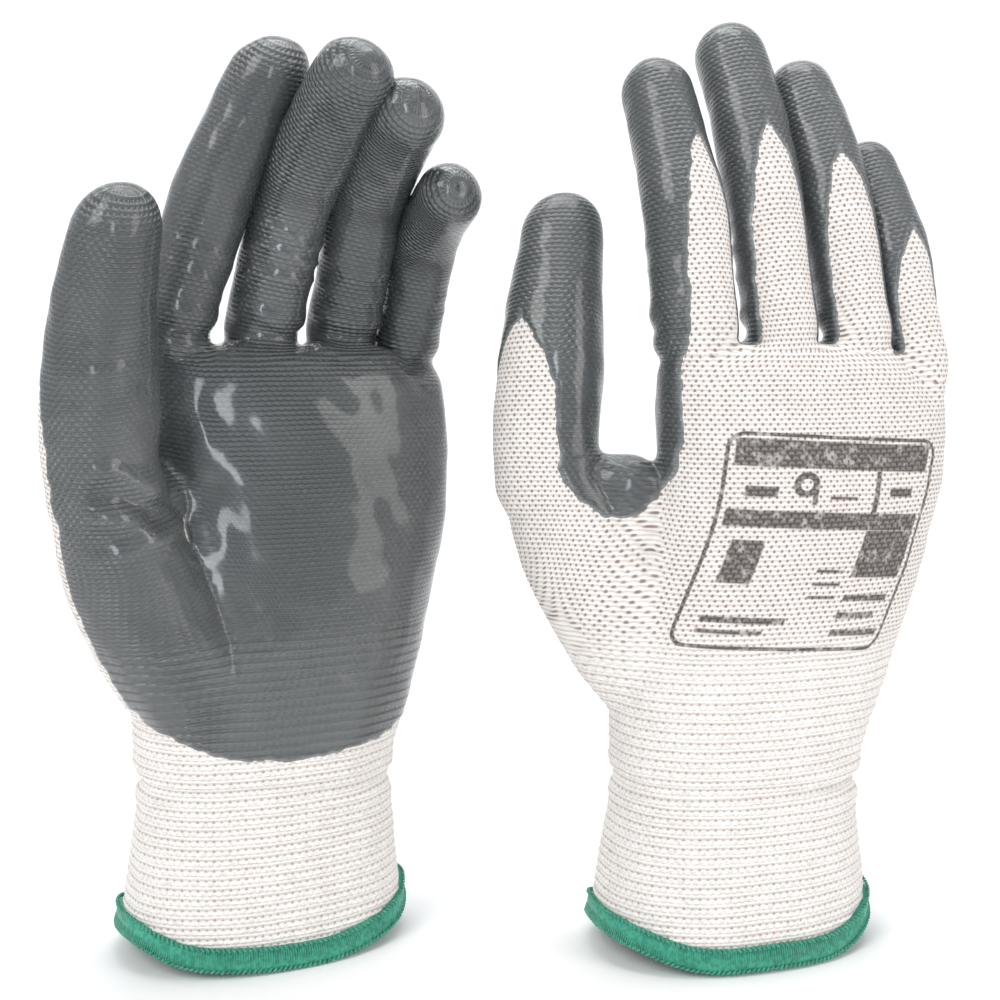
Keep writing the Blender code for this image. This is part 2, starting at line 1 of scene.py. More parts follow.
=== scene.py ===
# %% [markdown]
# # A pair of dipped work gloves
# A knitted work glove is one seamless tube of yarn that divides into a palm, a thumb and four fingers.
# The palm is dipped in nitrile rubber, the cuff holds elastic yarn, and a green thread is sewn round the
# hem. The scene is made in the same order: the fabric's shape, the knit, the dip, the elastic, the hem,
# the print and then the studio.

import json
import math

import bmesh
import bpy
import numpy as np
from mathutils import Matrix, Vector


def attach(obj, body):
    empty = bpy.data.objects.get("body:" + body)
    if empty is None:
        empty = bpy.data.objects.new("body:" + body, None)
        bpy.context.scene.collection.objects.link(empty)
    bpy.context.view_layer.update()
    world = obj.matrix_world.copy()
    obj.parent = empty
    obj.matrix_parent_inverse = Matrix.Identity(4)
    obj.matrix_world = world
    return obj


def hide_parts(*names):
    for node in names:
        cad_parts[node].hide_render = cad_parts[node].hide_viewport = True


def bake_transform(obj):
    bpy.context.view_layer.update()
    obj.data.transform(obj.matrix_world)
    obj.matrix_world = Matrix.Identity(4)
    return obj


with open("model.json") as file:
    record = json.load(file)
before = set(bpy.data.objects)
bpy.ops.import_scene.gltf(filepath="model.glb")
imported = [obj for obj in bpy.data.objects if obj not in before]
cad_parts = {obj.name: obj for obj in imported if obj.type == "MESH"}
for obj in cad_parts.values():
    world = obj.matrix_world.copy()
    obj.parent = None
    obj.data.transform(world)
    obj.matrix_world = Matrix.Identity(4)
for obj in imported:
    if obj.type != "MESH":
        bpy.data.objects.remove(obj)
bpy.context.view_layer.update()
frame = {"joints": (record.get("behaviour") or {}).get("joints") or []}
MM = 0.001

# %% [markdown]
# ## Each glove's own frame
# Both gloves are the same product, one mirrored. So every shape is worked out once, in a glove's own
# frame: x across the hand with the thumb side negative, p out of the palm and z up from the hem. Each
# glove then faces one way, is turned about the vertical, and its hand sways a little above the wrist.

# %% From a glove's frame to the table and back
PAIR_Y = 8.03 * MM
GLOVES = {
    "left": {"facing": -1, "place": -75.2 * MM, "turn": 26, "sway": 14 * MM, "spread": 0.6 * MM},
    "right": {"facing": 1, "place": 53.8 * MM, "turn": 19, "sway": 22 * MM, "spread": 3.2 * MM},
}


def unit(vectors):
    vectors = np.asarray(vectors, float)
    return vectors / np.maximum(np.linalg.norm(vectors, axis=-1, keepdims=True), 1e-12)


def to_table(side, points, place=True):
    glove = GLOVES[side]
    turn = math.radians(glove["turn"])
    x, y = points[..., 0], glove["facing"] * points[..., 1]
    across = math.cos(turn) * x - math.sin(turn) * y
    away = math.sin(turn) * x + math.cos(turn) * y
    if place:
        across, away = across + glove["place"], away + PAIR_Y
    return np.stack([across, away, points[..., 2]], axis=-1)


def to_glove(side, points, place=True):
    glove = GLOVES[side]
    turn = math.radians(glove["turn"])
    x, y = points[..., 0], points[..., 1]
    if place:
        x, y = x - glove["place"], y - PAIR_Y
    across = math.cos(turn) * x + math.sin(turn) * y
    away = -math.sin(turn) * x + math.cos(turn) * y
    return np.stack([across, glove["facing"] * away, points[..., 2]], axis=-1)


def ease(value, start, end):
    share = np.clip((np.asarray(value, float) - start) / (end - start), 0, 1)
    return share * share * (3 - 2 * share)


def sway_at(side, z):
    return GLOVES[side]["sway"] * ease(z, 47.7 * MM, 128.4 * MM)


print("gloves:", {side: glove["turn"] for side, glove in GLOVES.items()}, "degrees about the vertical")

# %% [markdown]
# ## The hand inside the glove
# A filled glove shows the hand that shapes it: a flat palm, a mound below the thumb, and digits that
# curl. A sculptor would push clay about, but the bends must land exactly on the model's joints, so the
# shape is lofted instead. Rings of points follow the palm's height and each digit's own bent line, which
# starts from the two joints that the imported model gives.

# %% The palm's sections
# height, middle x, middle p, half width and half depth, in mm
PALM_SECTIONS = np.array([
    (-4, 0, 0, 39.3, 27.8), (0, 0, 0, 39, 27.5), (14.2, 0.5, 0, 38.1, 26.0), (28.8, 1, 0, 36.2, 24.5),
    (43, 1.5, 0, 34.8, 23.5), (57, 1.8, 0.3, 36.4, 23.6), (72.3, 1.5, 0.5, 39.2, 23), (98, -0.5, 1, 41, 21.5),
    (125, -1.5, 1, 41.5, 19), (146, -1.5, 1, 41.5, 15.5), (158, -1.5, 1, 40.5, 12), (163, -1.5, 1, 39, 7.5),
]) * MM
WEB_TOP = 163 * MM
ROUNDNESS = 2.3


def smooth_line(at, stations, values):
    """A curve through the values at the stations, with no corner at any of them."""
    slopes = np.gradient(values, stations)
    at = np.clip(at, stations[0], stations[-1])
    i = np.clip(np.searchsorted(stations, at) - 1, 0, len(stations) - 2)
    step = stations[i + 1] - stations[i]
    t = (at - stations[i]) / step
    rise = values[i] * (1 + 2 * t) * (1 - t) ** 2 + values[i + 1] * t * t * (3 - 2 * t)
    return rise + step * t * (1 - t) * (slopes[i] * (1 - t) - slopes[i + 1] * t)


def palm_section(z):
    z = np.asarray(z, float)
    return [smooth_line(z, PALM_SECTIONS[:, 0], PALM_SECTIONS[:, column]) for column in range(1, 5)]


def oval(angles, half_width, half_depth, roundness=2.0):
    c, s = np.cos(angles), np.sin(angles)
    across = half_width * np.sign(c) * np.abs(c) ** (2 / roundness)
    return across, half_depth * np.sign(s) * np.abs(s) ** (2 / roundness)


def web_drop(x, z):
    """The webs lie lower towards the little finger."""
    return 7 * MM * ease(x, 15.8 * MM, 34 * MM) * ease(z, 120 * MM, WEB_TOP)


def palm_ring(side, z, angles, grow=0.0):
    x, p, half_width, half_depth = palm_section(z)
    across, out = oval(angles, half_width + grow, half_depth + grow, ROUNDNESS)
    drop = web_drop(x + across, z)
    spread = GLOVES[side]["spread"] * ease(across, 5 * MM, 38 * MM) * ease(z, 105 * MM, 145 * MM)
    return np.column_stack([x + across + spread + sway_at(side, z), p + out, z - drop])


lowest, highest = PALM_SECTIONS[0, 0] / MM, PALM_SECTIONS[-1, 0] / MM
print("palm sections:", len(PALM_SECTIONS), "from", lowest, "to", highest, "mm")

# %% The digits' sizes and curls
# width and depth in mm, then per glove: the length past the middle joint in mm, the middle joint's
# curl and the tip's curl in degrees, and how far the tip drifts sideways, in mm
DIGITS = {
    "thumb": (23.0, 21.6, {"left": (39, 6, 10, 6.5), "right": (42, 6, 8, 6.5)}),
    "index": (19.2, 18.4, {"left": (45, 6, 10, 8.5), "right": (43, 10, 12, -2.5)}),
    "middle": (19.6, 18.8, {"left": (47, 20, 27, 3.0), "right": (50, 8, 12, 0.0)}),
    "ring": (18.8, 18.0, {"left": (43, 25, 32, -2.5), "right": (45, 10, 12, 0.5)}),
    "little": (16.4, 16.0, {"left": (34, 28, 36, -6.0), "right": (36, 10, 12, -1.0)}),
}
# how stout a digit is at shares of its length, and how far its root lies to the side, in mm
FINGER_GIRTH = ((0, 0.25, 0.45, 0.62, 0.85, 1), (1.0, 1.02, 1.06, 1.02, 0.99, 0.94))
INDEX_GIRTH = ((0, 0.25, 0.45, 0.62, 0.85, 1), (1.16, 1.12, 1.09, 1.03, 0.99, 0.94))
THUMB_GIRTH = ((0, 0.3, 0.55, 0.74, 1), (1.20, 1.25, 1.10, 0.99, 0.90))
GIRTHS = {("left", "thumb"): THUMB_GIRTH, ("right", "thumb"): THUMB_GIRTH, ("right", "index"): INDEX_GIRTH}
ROOT_SHIFT = {"index": -1.2, "little": -2.2}
# how far the tips stand apart while the net is made, in mm, so that the fingers don't grow together
SPREAD = {"index": -5.0, "middle": -1.5, "ring": 1.5, "little": 5.0}
ROOT_LENGTH = 22 * MM
JOINTS = {joint["name"]: joint for joint in frame["joints"]}


class DigitLine:
    """One digit's bent middle line, with the directions across it and out of its pad at every point."""

    def __init__(self, side, name):
        width, depth, rest = DIGITS[name]
        distal, middle_curl, tip_curl, drift = rest[side]
        base = np.array(JOINTS[f"{side}_{name}_base_bend"]["pos_m"])
        middle = np.array(JOINTS[f"{side}_{name}_middle_bend"]["pos_m"])
        axis = np.array(JOINTS[f"{side}_{name}_base_bend"]["axis"])
        along = unit(middle - base)
        self.name, self.side = name, side
        self.girth = GIRTHS.get((side, name), FINGER_GIRTH)
        self.width, self.depth = width * MM, depth * MM
        self.proximal, self.distal = float(np.linalg.norm(middle - base)), distal * MM
        self.length = self.proximal + self.distal
        self.along = to_glove(side, along, place=False)
        self.out = to_glove(side, unit(np.cross(axis, along)), place=False)
        self.across = np.cross(self.out, self.along)
        self.base, self.middle = to_glove(side, base), to_glove(side, middle)
        self.stations = np.linspace(-ROOT_LENGTH, self.length, 130)
        s = self.stations
        curl = math.radians(middle_curl) * ease(s, self.proximal - 7 * MM, self.proximal + 7 * MM)
        curl = curl + math.radians(tip_curl) * np.clip((s - self.proximal) / self.distal, 0, 1)
        self.ahead = np.cos(curl)[:, None] * self.along + np.sin(curl)[:, None] * self.out
        self.pad = np.cos(curl)[:, None] * self.out - np.sin(curl)[:, None] * self.along
        steps = np.diff(s)[:, None] * (self.ahead[1:] + self.ahead[:-1]) / 2
        line = np.vstack([np.zeros(3), np.cumsum(steps, axis=0)])
        at_middle = np.array([np.interp(self.proximal, s, line[:, k]) for k in range(3)])
        share = np.clip(s / self.length, 0, 1)
        self.drift, self.spread = drift * MM, SPREAD.get(name, 0) * MM
        sideways = self.spread * share**0.7 + ROOT_SHIFT.get(name, 0) * MM * (1 - share)
        self.line = line - at_middle + self.middle + sideways[:, None] * self.across

    def closing(self, s):
        """How far a point moves sideways from the spread digit to the finished one."""
        share = np.clip(s / self.length, 0, 1)
        return (self.drift * share**1.6 - self.spread * share**0.7)[:, None] * self.across

    def at(self, s, table):
        return np.stack([np.interp(s, self.stations, table[:, k]) for k in range(3)], axis=-1)

    def half_size(self, s):
        """Half the width and depth at s, rounded off towards the tip."""
        stops, factors = (np.array(row) for row in self.girth)
        share = smooth_line(np.maximum(0, s) / self.length, stops, factors)
        share = share * (0.6 + 0.4 * ease(s, -ROOT_LENGTH, -9 * MM))
        tip = self.width / 2 * 0.98
        into_tip = np.clip((s - (self.length - tip)) / tip, 0, 1)
        share = share * np.sqrt(np.maximum(1e-6, 1 - into_tip**2.1))
        stout = 0.5 + 0.5 * factors[0] if self.name == "thumb" else 1
        return self.width / 2 * share, self.depth / 2 * share / stout

    def find(self, points):
        """For each point: how far along the digit it is, across it, out of its pad, and how many
        radii from its middle."""
        coarse = slice(None, None, 3)
        gap = ((points[:, None, :] - self.line[None, coarse, :]) ** 2).sum(axis=2)
        s = self.stations[coarse][gap.argmin(axis=1)]
        for _ in range(2):
            offset = points - self.at(s, self.line)
            s = s + (offset * self.at(s, self.ahead)).sum(axis=1)
        s = np.where(s < -ROOT_LENGTH, (points - self.base) @ self.along, np.minimum(s, self.length))
        offset = points - self.at(s, self.line)
        low = s < -ROOT_LENGTH
        offset[low] = points[low] - self.base - s[low, None] * self.along
        across = offset @ self.across
        out = (offset * self.at(s, self.pad)).sum(axis=1)
        half_width, half_depth = self.half_size(np.clip(s, 0, self.length * 0.8))
        return s, across, out, np.hypot(across / half_width, out / half_depth)


LINES = {side: {name: DigitLine(side, name) for name in DIGITS} for side in GLOVES}
for side, lines in LINES.items():
    print(side, "digits, in mm:", {name: round(line.length / MM) for name, line in lines.items()})

# %% [markdown]
# ## One seamless surface
# The lofts overlap like sausages pushed into a bag. A Boolean would leave a hard line where they meet,
# but knitted fabric runs over the webs in a soft curve. So all the lofts go into one mesh, a voxel Remesh
# wraps them in an even net of small squares, and a few rounds of smoothing soften the webs.

# %% Lofts and the net over them
RING_POINTS = 64
NET_STEP = 1.0 * MM
SMOOTH_ROUNDS = 9
THUMB_ROOT = ((-19, 4, 72), 19.5, 18.5)
THUMB_MOUND = np.array((-6.0, 1.5, 0)) * MM
WEB_HIGH, WEB_ROUND = 133 * MM, 7 * MM
WEB_PLACE = {"left": 14, "right": 18}


def add_loft(work, rings):
    """Adds a closed loft through rings of points, with a fan over each end."""
    made = [[work.verts.new(point) for point in ring] for ring in rings]
    count = len(rings[0])
    faces = []
    for low, high in zip(made, made[1:]):
        faces += [(low[i], low[(i + 1) % count], high[(i + 1) % count], high[i]) for i in range(count)]
    for ring, turn in ((made[0], -1), (made[-1], 1)):
        centre = work.verts.new(sum((v.co for v in ring), Vector()) / count)
        faces += [(ring[i], ring[(i + 1) % count], centre)[::turn] for i in range(count)]
    new = [work.faces.new(face) for face in faces]
    bmesh.ops.recalc_face_normals(work, faces=new)


def digit_rings(line, angles):
    tip = line.width / 2 * 0.98
    body_end = line.length - tip
    stations = np.concatenate([
        np.linspace(-ROOT_LENGTH + 1 * MM, body_end, 44),
        body_end + tip * np.sin(np.radians(np.linspace(8, 88, 12))),
    ])
    rings = []
    for s in stations:
        half_width, half_depth = line.half_size(s)
        across, out = oval(angles, half_width, half_depth)
        centre, pad = line.at(s, line.line), line.at(s, line.pad)
        rings.append(centre + across[:, None] * line.across + out[:, None] * pad)
    return rings


def thumb_root_rings(line, angles):
    """The mound below the thumb, from inside the palm to the thumb's own base."""
    (x, p, z), wide, deep = THUMB_ROOT
    start = np.array([x * MM + sway_at(line.side, z * MM), p * MM, z * MM])
    axis = unit(line.base - start)
    out = unit(line.out - axis * (line.out @ axis))
    side_way = np.cross(out, axis)
    rings = []
    end_width, end_depth = line.half_size(0)
    for share in np.linspace(-0.12, 1, 24):
        centre = start + (line.base - start) * share + THUMB_MOUND * math.sin(math.pi * max(0, share))
        half_width = wide * MM + (end_width - wide * MM) * share
        half_depth = deep * MM + (end_depth - deep * MM) * share
        across, away = oval(angles, half_width, half_depth)
        rings.append(centre + across[:, None] * side_way + away[:, None] * out)
    return rings


def web_rings(line, angles):
    """The web of cloth between the thumb and the palm, rounded off at its top."""
    x, p, low, high = line.base[0] + WEB_PLACE[line.side] * MM, 9 * MM, 92 * MM, WEB_HIGH
    heights = [(z, 1.0) for z in np.linspace(low, high - WEB_ROUND, 8)]
    heights += [(high - WEB_ROUND * (1 - math.sin(t)), math.cos(t)) for t in np.linspace(0.15, 1.5, 8)]
    rings = []
    for z, share in heights:
        across, out = oval(angles, 12 * MM * share, 8.5 * MM * share)
        rings.append(np.column_stack([x + across, p + out - across * 0.3, np.full(len(angles), z)]))
    return rings


def net_over_hand(side):
    """The glove's whole outside, as one even net."""
    angles = np.linspace(0, 2 * math.pi, RING_POINTS, endpoint=False)
    work = bmesh.new()
    heights = np.concatenate([np.linspace(-4, 148, 60), np.linspace(149.5, 163, 9)]) * MM
    add_loft(work, [palm_ring(side, z, angles) for z in heights])
    for line in LINES[side].values():
        add_loft(work, digit_rings(line, angles))
    for rings in (thumb_root_rings, web_rings):
        add_loft(work, rings(LINES[side]["thumb"], angles))
    mesh = bpy.data.meshes.new(f"{side}_lofts")
    work.to_mesh(mesh)
    work.free()
    lofts = bpy.data.objects.new(f"{side}_lofts", mesh)
    bpy.context.scene.collection.objects.link(lofts)
    net = lofts.modifiers.new("net", "REMESH")
    net.mode, net.voxel_size = "VOXEL", NET_STEP
    soften = lofts.modifiers.new("soften", "SMOOTH")
    soften.factor, soften.iterations = 0.5, SMOOTH_ROUNDS
    result = bpy.data.meshes.new_from_object(lofts.evaluated_get(bpy.context.evaluated_depsgraph_get()))
    bpy.data.objects.remove(lofts)
    return result


NETS = {side: net_over_hand(side) for side in GLOVES}
print("nets:", {side: len(net.polygons) for side, net in NETS.items()}, "squares")

# %% [markdown]
# ## Where the glove bends
# Real fabric gives everywhere, but a game or a simulation bends it at joints. Each glove is therefore
# divided into a cuff, a hand, and a base and a tip for each digit. The cuts are made a little before each
# joint, where the bending has not begun yet, so that the pieces stay joined while they move. The thumb's
# cut slants from the crotch down to its outer edge, because the palm begins right beside it.

# %% Cutting planes
CUFF_CUT = 28 * MM
WRIST_ZONE = (28 * MM, 60 * MM)
BEND_REACH = 11 * MM
THUMB_SLANT = unit([-0.6, 0.0, 0.8])
THUMB_ZONE = (-6 * MM, 8 * MM)


def bend_zone(line, joint):
    """A point before the joint, where bending begins, and one after it, where it ends."""
    if joint == "middle":
        way = unit(line.at(line.proximal, line.ahead))
        return line.middle - way * BEND_REACH, line.middle + way * BEND_REACH
    if line.name == "thumb":
        return line.base + THUMB_SLANT * THUMB_ZONE[0], line.base + THUMB_SLANT * THUMB_ZONE[1]
    return line.base - line.along * BEND_REACH, line.base + line.along * BEND_REACH


def past(points, zone):
    """How far each point lies past the start of a bending zone."""
    return (points - zone[0]) @ unit(zone[1] - zone[0])


class Places:
    """For points on the net: the digit each belongs to, and where it lies on it."""

    def __init__(self, side, points):
        self.points = points
        self.found = {name: line.find(points) for name, line in LINES[side].items()}
        self.owner = np.full(len(points), -1)
        nearest = np.full(len(points), 1e9)
        for number, (name, line) in enumerate(LINES[side].items()):
            s, _, _, radii = self.found[name]
            if name == "thumb":
                inside = (past(points, bend_zone(line, "base")) > -8 * MM) & (radii < 1.5) & (s > -20 * MM)
            else:
                inside = (s > -16 * MM) & (radii < 1.7)
            better = inside & (radii < nearest)
            self.owner[better] = number
            nearest[better] = radii[better]


def cut_net(side):
    """The net cut along every plane, as triangles."""
    work = bmesh.new()
    work.from_mesh(NETS[side])
    points = np.array([v.co for v in work.verts])
    places = Places(side, points)
    planes = [(Vector((0, 0, CUFF_CUT)), Vector((0, 0, 1)), np.abs(points[:, 2] - CUFF_CUT) < 4 * MM)]
    for number, line in enumerate(LINES[side].values()):
        for joint in ("base", "middle"):
            zone = bend_zone(line, joint)
            near = (places.owner == number) & (np.abs(past(points, zone)) < 4 * MM)
            planes.append((Vector(zone[0]), Vector(unit(zone[1] - zone[0])), near))
    work.verts.index_update()
    work.verts.ensure_lookup_table()
    targets = [[work.verts[i] for i in np.flatnonzero(near)] for _, _, near in planes]
    for (spot, way, _), verts in zip(planes, targets):
        verts = [v for v in verts if v.is_valid]
        faces = {face for v in verts for face in v.link_faces}
        edges = {edge for face in faces for edge in face.edges}
        corners = {v for face in faces for v in face.verts}
        bmesh.ops.bisect_plane(work, geom=[*corners, *edges, *faces], plane_co=spot, plane_no=way, dist=1e-6)
    whole = [*work.verts, *work.edges, *work.faces]
    bmesh.ops.bisect_plane(work, geom=whole, plane_co=(0, 0, 1 * MM), plane_no=(0, 0, 1), clear_inner=True)
    bmesh.ops.triangulate(work, faces=work.faces)
    work.verts.index_update()
    points = np.array([v.co for v in work.verts])
    triangles = np.array([[v.index for v in face.verts] for face in work.faces])
    work.free()
    return points, triangles


def piece_of(side, points, triangles):
    """For each triangle: 0 the cuff, 1 the hand, then a base and a tip for each digit."""
    centres = points[triangles].mean(axis=1)
    places = Places(side, centres)
    label = np.where(centres[:, 2] < CUFF_CUT, 0, 1)
    for number, line in enumerate(LINES[side].values()):
        mine = places.owner == number
        label[mine & (past(centres, bend_zone(line, "base")) > 0)] = 2 + 2 * number
        beyond = mine & (past(centres, bend_zone(line, "middle")) > 0)
        label[beyond] = 3 + 2 * number
    return label


SHEETS = {}
for side in GLOVES:
    points, triangles = cut_net(side)
    label = piece_of(side, points, triangles)
    SHEETS[side] = {"points": points, "triangles": triangles, "label": label}
    print(side, "triangles in each piece:", np.bincount(label).tolist())

# %% [markdown]
# ## Which way the knit runs
# A knitted fabric has wales, which run up the hand and on up each finger, and courses, which cross them.
# A pattern painted straight on would smear on the sides, so each point is given its own place in the
# knit: how many millimetres it lies across from the middle of the back, and how far up. Near a digit's
# root the palm's measure fades into the digit's own, which keeps the rows unbroken over the knuckles.

# %% Wales and courses
def quarter_arc(side_way, out, half_width, half_depth):
    """The length round an oval from its middle line to a point, on the palm or on the back."""
    turn = np.arctan2(np.abs(side_way) / half_width, np.abs(out) / half_depth + 1e-9)
    total = np.zeros_like(turn)
    for k in range(6):
        t = turn * (k + 0.5) / 6
        total += np.hypot(half_width * np.cos(t), half_depth * np.sin(t)) * turn / 6
    return np.sign(side_way) * total


def trunk_places(side, points):
    """Each point's place on the palm: x and p from the section's middle, and the section's half sizes."""
    z = points[:, 2] + web_drop(points[:, 0] - sway_at(side, points[:, 2]), points[:, 2])
    x, p, half_width, half_depth = palm_section(np.minimum(z, 150 * MM))
    return points[:, 0] - x - sway_at(side, points[:, 2]), points[:, 1] - p, half_width, half_depth


def mound_places(side, points):
    """Places round the leaning middle line of the mound below the thumb: aside, out, radius, and
    the line's x and p."""
    line = LINES[side]["thumb"]
    start = np.array(THUMB_ROOT[0]) * MM + (sway_at(side, THUMB_ROOT[0][2] * MM), 0, 0)
    share = np.clip((points[:, 2] - start[2]) / (line.base[2] - start[2]), 0, 1)
    middle = start + (line.base - start) * share[:, None] + THUMB_MOUND * np.sin(math.pi * share)[:, None]
    offset = points - middle
    radius = THUMB_ROOT[1] * MM + (line.half_size(0)[0] - THUMB_ROOT[1] * MM) * share
    middle_x = middle[:, 0] - sway_at(side, points[:, 2])
    return offset @ line.across, offset @ line.out, radius, middle_x, middle[:, 1]


def knit_places(side, points, places):
    """(across, up) of every point in the knit, in metres."""
    x, p, half_width, half_depth = trunk_places(side, points)
    trunk_across = quarter_arc(x, p, half_width, half_depth)
    across, up = trunk_across.copy(), points[:, 2].copy()
    for number, (name, line) in enumerate(LINES[side].items()):
        s, aside, out, radii = places.found[name]
        half_width, half_depth = line.half_size(np.clip(s, 0, line.length - line.width * 0.45))
        middle = line.base[0] - sway_at(side, line.base[2])
        if name == "thumb":
            low_aside, low_out, radius, low_middle, _ = mound_places(side, points)
            grown = ease(s, -8 * MM, 4 * MM)
            aside, out = low_aside + (aside - low_aside) * grown, low_out + (out - low_out) * grown
            half_width, half_depth = radius + (half_width - radius) * grown, radius + (half_depth - radius) * grown
            middle = low_middle + (middle - low_middle) * grown
            radii = np.hypot(aside / half_width, out / half_depth)
        own_across = middle + quarter_arc(aside, out, half_width, half_depth)
        own_up = line.base[2] + s
        if name == "thumb":
            share = ease(points[:, 2], 66 * MM, 112 * MM) * (1 - ease(radii, 1.25, 2.2)) * ease(p, -12 * MM, 5 * MM)
        else:
            near = np.maximum(1 - ease(radii, 1.05, 1.5), ease(s, -4 * MM, 4 * MM))
            share = np.where(places.owner == number, ease(s, -26 * MM, 4 * MM) * near, 0)
        across = across + (own_across - across) * share
        up = up + (own_up - up) * share
    return across, up, trunk_across


for side, sheet in SHEETS.items():
    sheet["places"] = Places(side, sheet["points"])
    sheet["across"], sheet["up"], sheet["trunk"] = knit_places(side, sheet["points"], sheet["places"])
    print(side, "knit reaches from", round(sheet["up"].min() / MM), "to", round(sheet["up"].max() / MM), "mm")

# %% [markdown]
# ## Where the dip ends
# The glove is dipped palm down. The rubber covers the palm, the finger fronts and the tips, and leaves a
# bare tongue on the back of each finger. A painted mask would give a flat join, so the dip is a skin of
# its own. For every point a signed distance tells how far it lies inside the dip's edge, and the skin
# stands above the knit where that is positive and dives under it where it is negative.

# %% Distance inside the dip's edge
# how far up each digit its bare tongue ends past the base joint, and half its width in degrees
TONGUES = {"thumb": (35, 64), "index": (41, 50), "middle": (44, 60), "ring": (38, 60), "little": (25, 60)}
TONGUE_TURN = {"index": -20, "little": -8}
THUMB_TURN = {"left": 30, "right": 50}
PALM_EDGE = np.array([
    (-90, 134), (-75, 124), (-65, 111), (-54, 93), (-46, 80), (-32, 64.5),
    (-18, 57), (2, 54.5), (29, 57), (37, 60), (90, 68),
]) * MM
# the dip's U on the back between thumb and index, from the thumb's base joint: across and height
WEB_EDGE = np.array([
    (-1.5, 190), (-1.5, 150), (-1, 138), (1, 129), (5, 122), (10, 118), (15, 117), (20, 118.5), (25, 122.5),
    (27.5, 128), (29, 136), (29.5, 146), (29.5, 168), (26, 190),
]) * MM


def wander(points, wavelength, seed, waves=10):
    """Smooth, uneven variation over space, about 1 high."""
    random = np.random.default_rng(seed)
    ways = unit(random.normal(size=(waves, 3))) * 2 * math.pi / wavelength * random.uniform(0.6, 1.5, (waves, 1))
    phases = random.uniform(0, 2 * math.pi, waves)
    return np.sin(points @ ways.T + phases).sum(axis=1) / math.sqrt(waves)


def outline_distance(points, outline, closed=False):
    """Distance from points to an outline in the plane. With closed, positive inside it."""
    ends = np.roll(outline, -1, axis=0) if closed else outline[1:]
    best, inside = np.full(len(points), 1e9), np.zeros(len(points), bool)
    for a, b in zip(outline, ends):
        way = b - a
        t = np.clip(((points - a) @ way) / (way @ way), 0, 1)
        best = np.minimum(best, np.linalg.norm(points - a - t[:, None] * way, axis=1))
        crosses = (a[1] > points[:, 1]) != (b[1] > points[:, 1])
        reach = a[0] + (points[:, 1] - a[1]) / (way[1] if way[1] else 1e-12) * way[0]
        inside ^= crosses & (points[:, 0] < reach)
    return np.where(inside, best, -best) if closed else best


def above_palm_edge(points):
    """Signed distance above the dip's lower edge on the palm."""
    flat = points[:, [0, 2]]
    height = np.interp(flat[:, 0], PALM_EDGE[:, 0], PALM_EDGE[:, 1])
    return np.where(flat[:, 1] > height, 1, -1) * outline_distance(flat, PALM_EDGE)


def tongue_rule(side, name, aside, out, half_turn, radius):
    """Signed distance outside a bare strip on a digit's back, half_turn degrees wide on each side."""
    turn = math.radians(THUMB_TURN[side] if name == "thumb" else TONGUE_TURN.get(name, 0))
    back = -out * math.cos(turn) - aside * math.sin(turn)
    flank = aside * math.cos(turn) - out * math.sin(turn)
    return (np.degrees(np.arctan2(np.abs(flank), back)) - half_turn) / 57.3 * radius


def dip_distance(side, points, places):
    _, p, _, _ = trunk_places(side, points)
    thumb = LINES[side]["thumb"]
    web = outline_distance(np.column_stack([points[:, 0] - thumb.base[0], points[:, 2]]), WEB_EDGE, closed=True)
    aside, out, radius, _, middle_p = mound_places(side, points)
    on_mound = (1 - ease(np.hypot(aside, out) / radius, 1.0, 2.0)) * ease(points[:, 2], 66 * MM, 100 * MM)
    rim = middle_p * on_mound - 0.5 * MM - 4 * MM * ease(points[:, 2], 150 * MM, 163 * MM)
    mound = tongue_rule(side, "thumb", aside, out, TONGUES["thumb"][1], radius)
    palm = np.minimum(np.minimum(p - rim, above_palm_edge(points)), mound)
    palm = np.maximum(palm, np.minimum(web, 6 * MM))
    for number, (name, line) in enumerate(LINES[side].items()):
        s, aside, out, _ = places.found[name]
        end, half_turn = TONGUES[name]
        into = np.clip(s / (end * MM), 0, 1)
        limit = half_turn * np.maximum(0, 1 - into**2.1) ** 0.72
        own = tongue_rule(side, name, aside, out, limit, line.width / 2)
        own = np.minimum(np.where(s > (end + 3) * MM, line.width / 2, own), line.width / 2)
        low = -15 * MM
        share = ease(s, low, -3 * MM) * (places.owner == number)
        if name == "thumb":
            own = np.maximum(own, np.minimum(web, 6 * MM))
        palm = palm + (own - palm) * share
    ragged = 0.3 * MM * wander(points, 6 * MM, 3) + 0.16 * MM * wander(points, 2.2 * MM, 4)
    return palm + ragged


for side, sheet in SHEETS.items():
    sheet["dip"] = dip_distance(side, sheet["points"], sheet["places"])
    print(side, "share of the glove under the dip:", round(float((sheet["dip"] > 0).mean()), 2))

# %% [markdown]
# ## Folds and creases
# Rubber on fabric buckles where the hand bends: across the finger bases, round the foot of the thumb and
# along the palm's lines. The knit has one deep fold where the cuff ends. Cloth simulation would find its
# own folds but not these, so each is drawn as a line on the palm, and the net is pushed in along it and
# out beside it.

# %% Pushing folds into the net
# each line in mm, x without the sway and height, then its depth and half width in mm
PALM_FOLDS = [
    (((-60, 127), (-53, 124.5), (-45, 121.5)), 1.9, 2.6),
    (((-60, 116), (-54, 117.5), (-46, 120.5)), 1.2, 2.4),
    (((-45, 121), (-41, 128), (-39, 140)), 1.0, 3.2),
    (((-38, 134), (-24, 112), (-15, 90)), 0.5, 4.5),
    (((-34, 148), (-14, 134), (8, 126)), 0.35, 4.0),
    (((-8, 152), (10, 143), (34, 145)), 0.4, 3.5),
]
# for each digit: the middle of its wrinkles past the base joint, their reach, spacing and depth in mm
WRINKLES = {
    "thumb": (22, 15, 9.0, 0.15), "index": (8, 10, 8.5, 0.3), "middle": (9, 16, 7.4, 0.6),
    "ring": (6, 12, 8.0, 0.35), "little": (6, 9, 6.5, 0.22),
}


